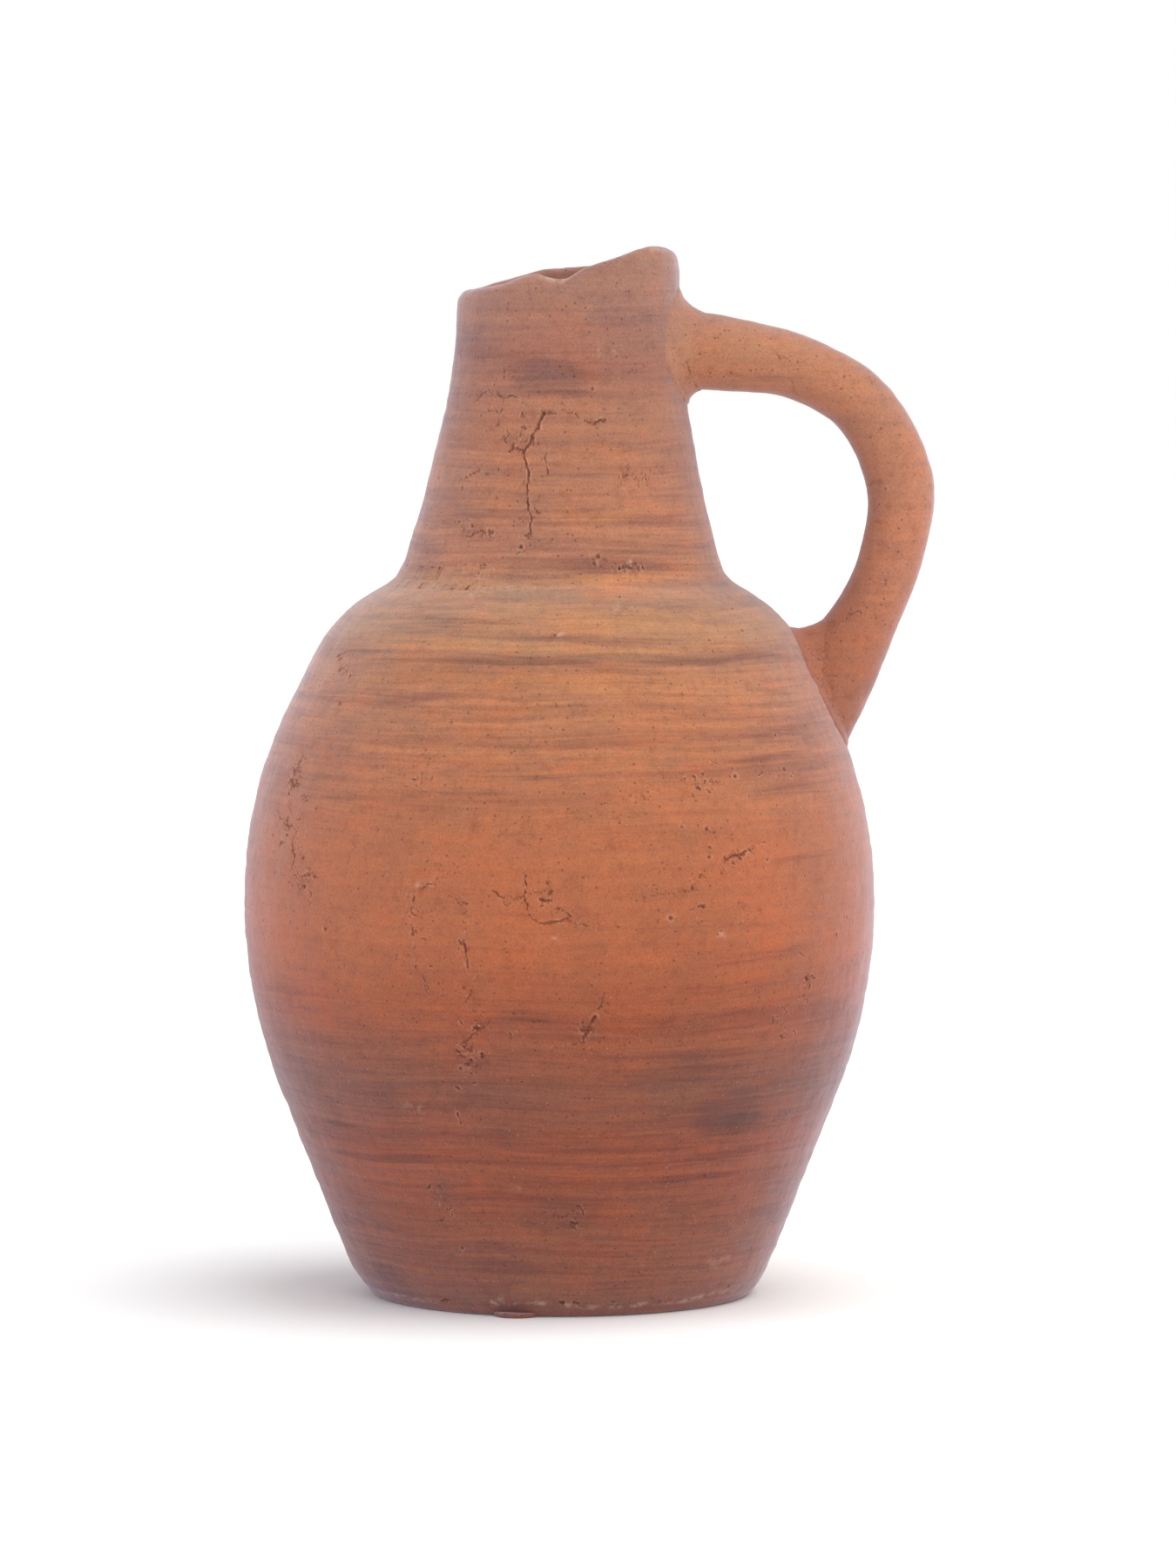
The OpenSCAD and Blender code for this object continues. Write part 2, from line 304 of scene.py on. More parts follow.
def places(mesh):
    """The mesh's points as an array, one row each, in metres."""
    co = np.empty(len(mesh.vertices) * 3)
    mesh.vertices.foreach_get("co", co)
    return co.reshape(-1, 3)


def put_back(mesh, co):
    mesh.vertices.foreach_set("co", co.ravel())
    mesh.update()


def level(knots, x):
    """Height of a lip outline above x, both in metres, from knots in millimetres."""
    xs, zs = zip(*knots)
    return np.interp(x, np.array(xs) * MM, np.array(zs) * MM)


co = places(skin.data)
co[:, 0] += lean * ease(lean_from, lip_z, co[:, 2])
front_share = ease(8 * MM, -8 * MM, co[:, 1])
drop = front_share * level(lip_front, co[:, 0]) + (1 - front_share) * level(lip_back, co[:, 0])
co[:, 2] += drop * ease(slant_from, lip_z - 4 * MM, co[:, 2])
worn_corner = ease(-20 * MM, -50 * MM, co[:, 0]) * ease(9 * MM, 0, co[:, 2])
co[:, :2] *= (1 - 0.022 * worn_corner)[:, None]
co[:, :2] *= 1 - shrink / belly_r
put_back(skin.data, co)

subdivision = skin.modifiers.new("smooth", "SUBSURF")
subdivision.levels = subdivision.render_levels = smoothing
bpy.ops.object.modifier_apply(modifier=subdivision.name)


def lumps(piece, name, size, height, stretch=None, group=None, kind="CLOUDS"):
    """Moves the surface in and out by clouds of a size. stretch flattens them into rings."""
    texture = bpy.data.textures.new(name, kind)
    texture.noise_scale = size
    if kind == "CLOUDS":
        texture.noise_depth = 2
    modifier = piece.modifiers.new(name, "DISPLACE")
    modifier.texture = texture
    modifier.strength = height
    modifier.mid_level = 0.5
    modifier.texture_coords = "OBJECT" if stretch else "LOCAL"
    modifier.texture_coords_object = stretch
    if group:
        modifier.vertex_group = group
    bpy.context.view_layer.objects.active = piece
    bpy.ops.object.modifier_apply(modifier=name)
    bpy.data.textures.remove(texture)


def paint(piece, name, values):
    """Stores one number for each point of the piece, for its material to read."""
    layer = piece.data.attributes.get(name) or piece.data.attributes.new(name, "FLOAT", "POINT")
    layer.data.foreach_set("value", np.asarray(values, dtype=np.float32))


def weigh(piece, name, values):
    """A vertex group from an array of weights, in steps of a fiftieth."""
    group = piece.vertex_groups.new(name=name)
    steps = np.round(np.clip(values, 0, 1) * 50).astype(int)
    for step in range(1, 51):
        chosen = np.nonzero(steps == step)[0].tolist()
        if chosen:
            group.add(chosen, step / 50, "REPLACE")


co = places(skin.data)
free = ease(0.6 * MM, 5 * MM, co[:, 2])
weigh(skin, "free", free)
bpy.ops.object.empty_add(location=(0, 0, 0))
rings_guide = bpy.context.object
rings_guide.scale = (1, 1, 0.045)
bpy.ops.object.select_all(action="DESELECT")
bpy.context.view_layer.update()
lumps(skin, "uneven_wall", 45 * MM, 0.9 * MM, group="free")
lumps(skin, "finger_ridges", 70 * MM, 0.5 * MM, stretch=rings_guide, group="free")
lumps(skin, "pressed_clay", 9 * MM, 0.34 * MM, group="free")
lumps(skin, "grit", 3 * MM, 0.14 * MM, group="free")


# ---- Drying cracks, pits and nicks ----------------------------------------------------
# The coarse clay tore as it dried: short ragged cracks, and chains of pits where grains
# fell out. They are cut into the skin before it is parted, because some cross a joint.

# Each mark is its width and depth, and the points that it runs through: place across the
# front and height, in millimetres.
front_marks = [
    # neck
    (0.6, 0.6, [(-13, 258), (-9, 255), (-4, 253), (1, 254), (5, 252), (9, 250), (13, 251)]),
    (0.9, 0.9, [(-4, 253), (-6, 249), (-8, 245), (-10, 242)]),
    (0.6, 0.6, [(-10, 242), (-9, 236), (-9, 231), (-8, 224), (-8, 218)]),
    (0.6, 0.6, [(-14, 242), (-12, 243), (-10, 242)]),
    (0.4, 0.4, [(-28, 234), (-23, 236), (-20, 236)]),
    (0.5, 0.5, [(-17, 237), (-15, 235)]),
    (0.4, 0.3, [(-4, 243), (-4, 240), (-3, 236)]),
    (0.6, 0.5, [(20, 235), (22, 237)]),
    (0.4, 0.4, [(24, 235), (28, 238)]),
    (0.5, 0.4, [(-26, 218), (-22, 220), (-20, 219), (-18, 217)]),
    (0.5, 0.5, [(11, 271), (11, 268)]),
    (0.4, 0.3, [(13, 251), (17, 247), (18, 243)]),
    (0.5, 0.4, [(-16, 254), (-17, 250), (-14, 247)]),
    (0.4, 0.3, [(-24, 256), (-20, 259), (-15, 257), (-13, 258)]),
    (0.35, 0.3, [(-22, 252), (-18, 254), (-15, 252)]),
    (0.35, 0.3, [(-27, 229), (-22, 231), (-17, 229)]),
    (0.35, 0.3, [(17, 247), (19, 240), (18, 234)]),
    # shoulder
    (0.5, 0.4, [(-63, 184), (-59, 187)]),
    (0.4, 0.4, [(-63, 174), (-59, 175)]),
    (0.6, 0.5, [(-38, 155), (-38, 152), (-43, 150)]),
    (0.5, 0.4, [(-38, 150), (-34, 148)]),
    (0.5, 0.4, [(19, 147), (23, 149), (25, 147)]),
    # belly, left
    (0.5, 0.4, [(-72, 158), (-73, 153), (-76, 146), (-75, 139)]),
    (0.6, 0.5, [(-73, 137), (-75, 133), (-74, 128), (-75, 125), (-71, 122), (-69, 119)]),
    (0.4, 0.3, [(-80, 124), (-76, 124)]),
    (0.5, 0.4, [(-82, 137), (-84, 132), (-86, 127)]),
    (0.5, 0.5, [(-34, 124), (-38, 123), (-40, 121)]),
    (0.8, 0.8, [(-40, 121), (-41, 115), (-40, 110)]),
    (0.5, 0.5, [(-40, 108), (-40, 105), (-39, 100), (-36, 96), (-34, 91)]),
    (0.4, 0.3, [(-29, 121), (-25, 117), (-26, 111)]),
    (0.6, 0.6, [(-26, 109), (-25, 102)]),
    (0.4, 0.3, [(-28, 107), (-26, 108)]),
    (0.5, 0.4, [(-24, 95), (-25, 91), (-21, 88)]),
    (0.4, 0.4, [(-20, 86), (-24, 82), (-28, 80)]),
    (0.5, 0.4, [(-26, 81), (-26, 75), (-25, 70)]),
    (0.5, 0.4, [(-28, 60), (-27, 56)]),
    # belly, middle
    (0.6, 0.5, [(-18, 123), (-15, 120)]),
    (0.4, 0.3, [(-15, 120), (-9, 121)]),
    (0.6, 0.6, [(-9, 127), (-9, 121), (-8, 116)]),
    (0.6, 0.5, [(-8, 116), (-4, 114), (0, 115), (3, 116), (1, 118), (-1, 118)]),
    (0.6, 0.6, [(3, 116), (4, 114), (10, 113), (14, 112)]),
    (0.4, 0.3, [(-8, 122), (-2, 123)]),
    # belly, right
    (0.8, 0.8, [(46, 130), (49, 132), (54, 133)]),
    (0.5, 0.5, [(54, 133), (58, 135)]),
    (0.4, 0.4, [(45, 127), (47, 129)]),
    (0.4, 0.3, [(60, 95), (60, 92)]),
    (0.4, 0.4, [(70, 99), (69, 94), (68, 90)]),
    (0.6, 0.5, [(63, 82), (64, 79)]),
    (0.4, 0.3, [(13, 94), (11, 90)]),
    (1.4, 1.2, [(10, 88), (8, 84), (7, 81)]),
    (0.5, 0.4, [(7, 81), (9, 79)]),
    (0.5, 0.4, [(7, 81), (4, 80)]),
    (0.3, 0.2, [(6, 123), (20, 122), (36, 122)]),
    # above the foot
    (0.3, 0.3, [(30, 46), (30, 38)]),
    (0.3, 0.3, [(38, 31), (38, 23)]),
    (0.4, 0.4, [(31, 20), (30, 17), (32, 15)]),
    (0.4, 0.4, [(-2, 34), (0, 30)]),
]
# Loose pits: place across the front, height and diameter
front_pits = [(-3, 125, 1.1), (0, 118, 1.2), (40, 154, 1.0), (42, 152, 0.9), (49, 153, 1.3),
              (41, 139, 1.2), (43, 138, 0.8), (37, 123, 1.2), (35, 122, 0.8), (31, 115, 1.3),
              (-65, 110, 1.3), (-26, 79, 1.2), (-24, 78, 1.0), (-28, 78, 0.9), (-25, 74, 1.3),
              (-27, 73, 0.9), (20, 210, 1.6), (10, 211, 1.2), (11, 213, 1.3), (-22, 204, 1.4),
              (-23, 206, 1.1), (-1, 192, 0.9), (17, 202, 0.9), (42, 190, 0.9), (44, 110, 0.8),
              (36, 205, 0.9), (-12, 243, 0.9), (-62, 60, 0.9), (-27, 20, 1.0), (52, 96, 0.8),
              (56, 116, 0.8), (63, 154, 1.2), (65, 152, 0.9), (28, 200, 0.7), (48, 6, 1.0)]

# Where the surface is torn and crumbled: place across, height, half width, half height,
# number of short tears
front_scars = [(-73, 152, 3, 8, 24), (-75, 139, 3, 8, 20), (-73, 125, 4, 7, 26), (-25, 77, 4, 7, 22),
               (-18, 86, 6, 3, 9), (18, 210, 9, 1.5, 12), (-23, 209, 8, 1.5, 9),
               (62, 155, 6, 5, 10), (40, 153, 6, 6, 12), (38, 122, 4, 7, 8), (8, 85, 3, 5, 9),
               (-4, 118, 11, 5, 18), (50, 131, 8, 3, 10), (-11, 243, 6, 7, 16),
               (-8, 226, 4, 8, 8), (22, 236, 6, 3, 10), (70, 96, 4, 7, 9), (-38, 112, 4, 12, 12),
               (-26, 108, 3, 10, 8), (63, 84, 4, 8, 6), (0, 4, 50, 1.2, 14), (-60, 182, 5, 6, 7),
               (-36, 152, 6, 4, 6), (-24, 220, 6, 4, 6), (-16, 262, 9, 4, 6), (-33, 35, 3, 5, 10),
               (5, 29, 6, 5, 8)]

wander = random.Random(11)
width_share = 0.36                     # half of a mark's width, and its depth, as shares of
depth_share = 0.85                     # what the lists say
mark_reach = 1.4                       # a mark ends this many half widths from its line
edge_reach = 1.1                       # and its torn edge rises over this many more
fine_within = 0.9 * MM                 # faces this near a mark are made finer
edge_height = 0.16 * MM                # a torn edge stands up no higher than this


def seen_from(piece, side, x, z):
    """Where a level line of sight at x and z meets the piece, from the front or the back."""
    hit, place, _, _ = piece.ray_cast(Vector((x, side, z)), Vector((0, -side, 0)))
    return place if hit else None


def ragged(points, step=0.5 * MM, sway=0.5 * MM):
    """Points along a mark, close together, which wander off its line."""
    out = []
    across = along = 0
    for start, end in zip(points, points[1:]):
        length = math.dist(start, end)
        count = max(1, round(length / step))
        direction = ((end[0] - start[0]) / length, (end[1] - start[1]) / length)
        for i in range(count):
            across = 0.8 * across + wander.uniform(-sway, sway) * 0.55
            along = i / count * length
            out.append((start[0] + direction[0] * along - direction[1] * across,
                        start[1] + direction[1] * along + direction[0] * across))
    return out + [points[-1]]


def mark(piece, side, width, depth, points):
    """Points of a mark laid on a piece: place, half width and depth of each."""
    out = []
    swell = 1
    for x, z in ragged([(x * MM, z * MM) for x, z in points]):
        swell = min(1.5, max(0.4, swell + wander.uniform(-0.36, 0.36)))
        place = seen_from(piece, side, x, z)
        if place is not None:
            out.append((place, width * width_share * swell * MM, depth * depth_share * swell * MM))
        if wander.random() < 0.18:
            crumb = wander.uniform(0.1, 0.24)
            place = seen_from(piece, side, x + wander.uniform(-1.3, 1.3) * MM,
                              z + wander.uniform(-1.3, 1.3) * MM)
            if place is not None:
                out.append((place, crumb * MM, crumb * MM))
    return out


def pits(piece, side, chosen):
    return [(seen_from(piece, side, x * MM, z * MM), width * 0.38 * MM, 0.45 * width * MM)
            for x, z, width in chosen]


def carve(piece, marks, fineness):
    """Cuts the marks into the piece, on faces made finer first, and paints them darker inside, as
    painted shade. A mark's torn edge stands up a little, and is painted paler, as painted highlight."""
    finder = kdtree.KDTree(len(marks))
    for index, (place, _, _) in enumerate(marks):
        finder.insert(place, index)
    finder.balance()
    near = [finder.find(vertex.co)[2] < fine_within for vertex in piece.data.vertices]
    bpy.ops.object.select_all(action="DESELECT")
    piece.select_set(True)
    bpy.context.view_layer.objects.active = piece
    bpy.ops.object.mode_set(mode="EDIT")
    bpy.ops.mesh.select_mode(type="FACE")
    bpy.ops.mesh.select_all(action="DESELECT")
    bpy.ops.object.mode_set(mode="OBJECT")
    for face in piece.data.polygons:
        face.select = any(near[v] for v in face.vertices)
    bpy.ops.object.mode_set(mode="EDIT")
    bpy.ops.mesh.subdivide(number_cuts=fineness)
    bpy.ops.object.mode_set(mode="OBJECT")
    cut = np.zeros(len(piece.data.vertices))
    edge = np.zeros(len(piece.data.vertices))
    crack_shade = np.zeros(len(piece.data.vertices))
    for vertex in piece.data.vertices:
        if finder.find(vertex.co)[2] > 2 * MM:
            continue
        for _, index, distance in finder.find_n(vertex.co, 3):
            _, half, depth = marks[index]
            share = 1 - distance / (half * mark_reach)
            if share > 0:
                cut[vertex.index] = max(cut[vertex.index], depth * share ** 0.6)
                crack_shade[vertex.index] = max(crack_shade[vertex.index], min(1, share * 1.5))
            elif share > -edge_reach:
                edge[vertex.index] = max(edge[vertex.index], depth * 0.3 * (share + edge_reach))
    normals = np.array([vertex.normal for vertex in piece.data.vertices])
    moved = np.where(cut > 0, -cut, np.minimum(edge, edge_height))
    put_back(piece.data, places(piece.data) + normals * moved[:, None])
    # Painted shade: the colour inside each crack and pit is darkened.
    paint(piece, "crack", crack_shade)
    # Painted highlight: the raised rim round each crack is painted paler.
    paint(piece, "crack_rim_highlight", np.where(cut > 0, 0, np.minimum(1, edge / (0.13 * MM))))


skin_marks = pits(skin, -1, front_pits)
for width, depth, points in front_marks:
    skin_marks += mark(skin, -1, width, depth, points)
for x, z, wide, high, count in front_scars:
    for _ in range(count):
        start = (wander.gauss(x, wide / 2), wander.gauss(z, high / 2))
        end = (start[0] + wander.uniform(-1.6, 1.6), start[1] + wander.uniform(-1.0, 1.0))
        size = wander.choice([0.35, 0.45, 0.6, 0.8])
        skin_marks += mark(skin, -1, size, size * 0.8, [start, end])

# The back and the flanks tore in the same way, so these marks wander freely.
for _ in range(46):
    x, z = wander.uniform(-78, 78), wander.choice([wander.uniform(20, 185), wander.uniform(210, 275)])
    if z > 200:
        x *= 0.42
    heading = wander.choice([0, 90, 90, 60, 120]) + wander.uniform(-25, 25)
    points = [(x, z)]
    for _ in range(wander.randint(1, 5)):
        heading += wander.uniform(-40, 40)
        stride = wander.uniform(2.5, 6)
        x += stride * math.cos(math.radians(heading))
        z += stride * math.sin(math.radians(heading))
        points.append((x, z))
    width, depth = wander.uniform(0.35, 0.85), wander.uniform(0.3, 0.8)
    skin_marks += mark(skin, 1, width, depth, points)
for _ in range(130):
    angle = math.radians(wander.uniform(0, 360))
    z = wander.uniform(8, 285) * MM
    outward = Vector((math.cos(angle), math.sin(angle), 0))
    hit, place, _, _ = skin.ray_cast(outward * 0.3 + Vector((0, 0, z)), -outward)
    if hit:
        size = wander.choice([0.3, 0.4, 0.5, 0.6, 0.8])
        skin_marks.append((place, size / 2 * MM, 0.5 * size * MM))
carve(skin, skin_marks, 2)


# ---- Slip, scuffs and smudges ---------------------------------------------------------
# Wet hands and a rib drew thin bands of darker, greyer and brighter slip round the
# turning jug, and use scuffed it. The strokes are painted on the skin's points, and the
# materials break them up into fine streaks.

# Strokes on the front: place across and height, half length and half height in
# millimetres, and strength.
front_strokes = {
    "dark_slip": [
        (22, 213, 32, 4.6, 0.95), (-40, 213, 10, 5, 0.8), (2, 212, 14, 3, 0.5),
        (28, 222.5, 15, 1.3, 0.8), (-20, 217, 10, 1.5, 0.4), (-2, 263, 14, 5.5, 1.0),
        (-6, 272, 10, 3, 0.25), (24, 252, 9, 2, 0.35), (20, 190.6, 42, 1.5, 0.5),
        (48, 190.6, 10, 2, 0.45), (-42, 194, 22, 3.5, 0.45), (-60, 187.5, 12, 1.6, 0.5),
        (8, 184.4, 76, 1.5, 0.75), (-48, 178, 18, 1.2, 0.4), (-42, 173.5, 11, 1.5, 0.8),
        (62, 173.5, 9, 1.6, 0.8), (-61, 168.5, 11, 1.6, 0.7), (-37, 163, 13, 1.1, 0.6),
        (21, 163, 10, 1.1, 0.6), (62, 163, 11, 1.3, 0.7), (59, 157, 14, 1.3, 0.7),
        (-3, 153, 17, 0.9, 0.7), (64, 148, 15, 2.2, 0.7), (34, 143.5, 24, 0.9, 0.4),
        (-66, 147, 10, 0.9, 0.4), (70, 129.5, 15, 1.5, 0.6), (53, 103.5, 26, 2.4, 0.6),
        (30, 97, 14, 1, 0.35), (-5, 87.5, 20, 3.2, 0.55), (38, 74, 26, 8, 0.55),
        (47, 59, 12, 8, 1.0), (-52, 64, 16, 1.3, 0.4), (-49, 45.3, 20, 1.8, 0.9),
        (-4, 44, 26, 0.9, 0.5), (-62, 54.5, 7, 1.2, 0.7), (48, 46.5, 15, 1.6, 0.7),
        (38, 40.5, 18, 1.4, 0.6), (38, 33, 11, 1.1, 0.6), (23, 22.3, 19, 1.3, 0.5),
        (-30, 27, 18, 1, 0.4), (24, 11, 30, 1.5, 0.6), (-50, 9, 9, 6, 0.8),
        (50, 14, 8, 5, 0.3)],
    "grey_slip": [
        (-5, 203, 16, 2.2, 0.8), (-44, 193, 24, 6, 0.8), (-60, 198, 12, 2.5, 0.5),
        (0, 186.8, 78, 1.2, 0.5), (30, 182, 34, 1.2, 0.4), (-33, 35, 3.5, 5.5, 0.95),
        (5, 29, 9, 6, 0.9), (12, 25, 6, 4, 0.8), (-2, 33, 4, 3, 0.8), (8, 86, 7, 6, 0.6),
        (-16, 85, 8, 4, 0.5), (0, 4.5, 62, 4.5, 0.75), (26, 100, 12, 2, 0.4),
        (47, 59, 11, 6, 0.9), (-2, 263, 12, 4.5, 0.7),
        (-24, 232, 14, 10, 0.35), (18, 262, 14, 12, 0.3), (-26, 275, 10, 8, 0.3),
        (40, 66, 22, 5, 0.4), (-20, 55, 16, 2, 0.35)],
    "warm_slip": [
        (8, 224.4, 18, 2.3, 0.9), (0, 207.3, 46, 1.2, 0.9), (18, 196, 30, 4, 0.75),
        (-12, 199, 14, 2, 0.5), (0, 188, 62, 0.8, 0.8), (0, 179.3, 78, 2.8, 0.7),
        (10, 170.5, 60, 1.6, 0.55), (0, 160, 70, 1.3, 0.5), (-20, 155.6, 50, 1.0, 0.45),
        (20, 150, 40, 1.2, 0.45), (-10, 136, 60, 2, 0.3), (10, 241, 20, 3, 0.4),
        (4, 256, 20, 2, 0.35), (8, 284, 16, 3, 0.35), (-40, 96, 20, 3, 0.25)],
    "pale_scuff": [
        (-23, 201, 3, 1.4, 0.8), (18, 200, 3, 1.2, 0.7), (0, 192, 2, 0.9, 0.7),
        (20, 211, 1.6, 1.2, 0.9), (10, 212, 1.2, 0.9, 0.7), (-16, 4, 4.5, 1.3, 0.9),
        (-1, 291, 4.5, 1.6, 0.9), (-30, 286, 3, 1.4, 0.5), (28, 298, 4, 1.2, 0.4),
        (-1, 109, 1.2, 1, 0.9), (45, 110, 1.2, 0.8, 0.6), (-38, 123, 2, 1, 0.4),
        (16, 271, 5, 0.5, 0.5), (23, 274.5, 5, 0.5, 0.5), (-10, 38, 3, 0.8, 0.4),
        (30, 3.6, 24, 0.7, 0.6), (-44, 3.6, 12, 0.7, 0.6), (2, 3.8, 14, 0.7, 0.6),
        (45, 14, 4, 1, 0.4), (-40, 60, 5, 0.8, 0.3)],
}
# The same kinds on the back and the flanks: how many, longest half length, greatest half
# height and strength.
back_strokes = {"dark_slip": (60, 45, 2.2, 0.8), "grey_slip": (26, 26, 4, 0.7),
                "warm_slip": (36, 55, 2.2, 0.7), "pale_scuff": (34, 5, 1.2, 0.8)}
# How streaky the clay is at each height, in millimetres
streakiness = [(0, 0.55), (30, 0.75), (60, 0.70), (90, 0.55), (100, 0.22), (135, 0.18), (148, 0.6),
               (165, 0.8), (195, 0.75), (220, 0.75), (240, 0.5), (280, 0.45), (300, 0.35)]


def brush(across, height, strokes):
    """Strength of the strongest stroke at each point, soft at its ends and its edges."""
    total = np.zeros(len(height))
    for x, z, half_length, half_height, strength in strokes:
        u = np.abs(across - x) / half_length
        v = np.abs(height - z) / half_height
        near = np.nonzero((u < 1.3) & (v < 1.5))[0]
        value = strength * ease(1.3, 0.2, u[near]) * ease(1.5, 0.2, v[near])
        total[near] = np.maximum(total[near], value)
    return total


co = places(skin.data)
height = co[:, 2] / MM
around = np.arctan2(co[:, 0], co[:, 1])                # 0 at the back
height += 0.7 * np.sin(around * 5) + 0.3 * np.sin(around * 13 + 1)
in_front = ease(26 * MM, 4 * MM, co[:, 1])
outside = np.ones(len(co))
for face in skin.data.polygons:
    if face.center.z > floor_z and face.normal.xy.dot(face.center.xy) < 0:
        for v in face.vertices:
            outside[v] = 0
for kind, (count, longest, tallest, strength) in back_strokes.items():
    chosen = []
    for _ in range(count):
        chosen.append((wander.uniform(-140, 140), wander.uniform(2, 295),
                       wander.uniform(0.25, 1) * longest, wander.uniform(0.3, 1) * tallest,
                       wander.uniform(0.5, 1) * strength))
    behind = brush(around * 75, height, chosen)
    ahead = brush(co[:, 0] / MM, height, front_strokes[kind])
    paint(skin, kind, (ahead * in_front + behind * (1 - in_front)) * outside)
paint(skin, "streaky", np.interp(height, *zip(*streakiness)) * (0.25 + 0.75 * outside))


# ---- Parting the skin -----------------------------------------------------------------
# The skin is parted where the real pieces were luted together. Each section below closes
# its own piece along the joint's hidden faces.

bpy.ops.object.select_all(action="DESELECT")
skin.select_set(True)
bpy.context.view_layer.objects.active = skin
bpy.ops.object.mode_set(mode="EDIT")
bpy.ops.mesh.separate(type="MATERIAL")
bpy.ops.object.mode_set(mode="OBJECT")
parted = {piece.material_slots[0].name: piece for piece in bpy.context.selected_objects}
for piece in parted.values():
    piece.data.materials.clear()
    piece.vertex_groups.clear()


def edit_open_rims(piece):
    """Opens the piece in edit mode with the edges of its holes selected."""
    bpy.ops.object.select_all(action="DESELECT")
    piece.select_set(True)
    bpy.context.view_layer.objects.active = piece
    bpy.ops.object.mode_set(mode="EDIT")
    bpy.ops.mesh.select_mode(type="EDGE")
    bpy.ops.mesh.select_all(action="DESELECT")
    bpy.ops.mesh.select_non_manifold(use_wire=False, use_multi_face=False,
                                     use_non_contiguous=False, use_verts=False)


def close_joint(piece, low, high, corners):
    """Bridges the two open rims between the heights low and high, outer rim to inner rim,
    and moves the new rings to the joint's corners, given as (radius, height)."""
    edit_open_rims(piece)
    bpy.ops.object.mode_set(mode="OBJECT")
    co = places(piece.data)
    rim = []
    for edge in piece.data.edges:
        inside = all(low < co[v][2] < high for v in edge.vertices)
        edge.select = edge.select and inside
        if edge.select:
            rim += edge.vertices
    radius = np.hypot(co[rim, 0], co[rim, 1])
    split = (radius.max() + radius.min()) / 2
    outer = np.array([radius[radius > split].mean(), co[rim, 2][radius > split].mean()])
    inner = np.array([radius[radius < split].mean(), co[rim, 2][radius < split].mean()])
    before = len(co)
    bpy.ops.object.mode_set(mode="EDIT")
    bpy.ops.mesh.bridge_edge_loops(number_cuts=len(corners))
    bpy.ops.object.mode_set(mode="OBJECT")
    co = places(piece.data)
    way = inner - outer
    for vertex in range(before, len(co)):
        r = math.hypot(co[vertex][0], co[vertex][1])
        share = ((r - outer[0]) * way[0] + (co[vertex][2] - outer[1]) * way[1]) / way.dot(way)
        index = min(len(corners) - 1, max(0, round(share * (len(corners) + 1)) - 1))
        new_r, new_z = corners[index]
        co[vertex] = (co[vertex][0] * new_r / r, co[vertex][1] * new_r / r, new_z)
    put_back(piece.data, co)


def finish_clay(piece, sharp=55):
    """Normals outwards, smooth shading, and sharp edges only where clay was cut. A thin
    piece can come out of the first step inside out, which its signed volume shows."""
    bpy.ops.object.select_all(action="DESELECT")
    piece.select_set(True)
    bpy.context.view_layer.objects.active = piece
    bpy.ops.object.mode_set(mode="EDIT")
    bpy.ops.mesh.select_all(action="SELECT")
    bpy.ops.mesh.normals_make_consistent(inside=False)
    bpy.ops.object.mode_set(mode="OBJECT")
    if sum(face.center.dot(face.normal) * face.area for face in piece.data.polygons) < 0:
        bpy.ops.object.mode_set(mode="EDIT")
        bpy.ops.mesh.select_all(action="SELECT")
        bpy.ops.mesh.flip_normals()
        bpy.ops.object.mode_set(mode="OBJECT")
    bpy.ops.object.shade_smooth_by_angle(angle=math.radians(sharp))
    piece.data.update()


# ---- Fired clay -----------------------------------------------------------------------
# One coarse red earthenware for every piece: mottled, gritty and dull, with slip streaks
# that follow the wheel, pores painted dark as painted shade, pale grog, cracks painted
# darker inside as painted shade and paler on their rims as painted highlight, and pale
# dusty edges.

def add(tree, kind, inputs=None, **settings):
    """A shader node with its settings. A socket among its inputs is linked, a value is set."""
    made = tree.nodes.new("ShaderNode" + kind)
    for key, value in settings.items():
        setattr(made, key, value)
    for key, value in (inputs or {}).items():
        if isinstance(value, bpy.types.NodeSocket):
            tree.links.new(value, made.inputs[key])
        else:
            made.inputs[key].default_value = value
    return made.outputs


def maths(tree, operation, first, second, third=0.0, clamp=False):
    inputs = {0: first, 1: second}
    if operation == "MULTIPLY_ADD":
        inputs[2] = third
    return add(tree, "Math", inputs, operation=operation, use_clamp=clamp)[0]


def rise(tree, value, low, high):
    """0 where the value is low, 1 where it is high."""
    return add(tree, "MapRange", {0: value, 1: low, 2: high}, interpolation_type="SMOOTHSTEP")[0]


def noise(tree, coords, scale, detail=2.0, roughness=0.5):
    return add(tree, "TexNoise", {"Vector": coords, "Scale": scale, "Detail": detail,
                                  "Roughness": roughness})[0]


def tint(tree, colour, amount, by):
    """The colour multiplied by another as far as amount says."""
    return add(tree, "Mix", {0: amount, 6: colour, 7: by}, data_type="RGBA",
               blend_type="MULTIPLY", clamp_factor=True)[2]


def cover(tree, colour, amount, by):
    """The colour replaced by another as far as amount says."""
    return add(tree, "Mix", {0: amount, 6: colour, 7: by}, data_type="RGBA",
               clamp_factor=True)[2]


def painted(tree, name):
    return add(tree, "Attribute", attribute_name=name)["Fac"]


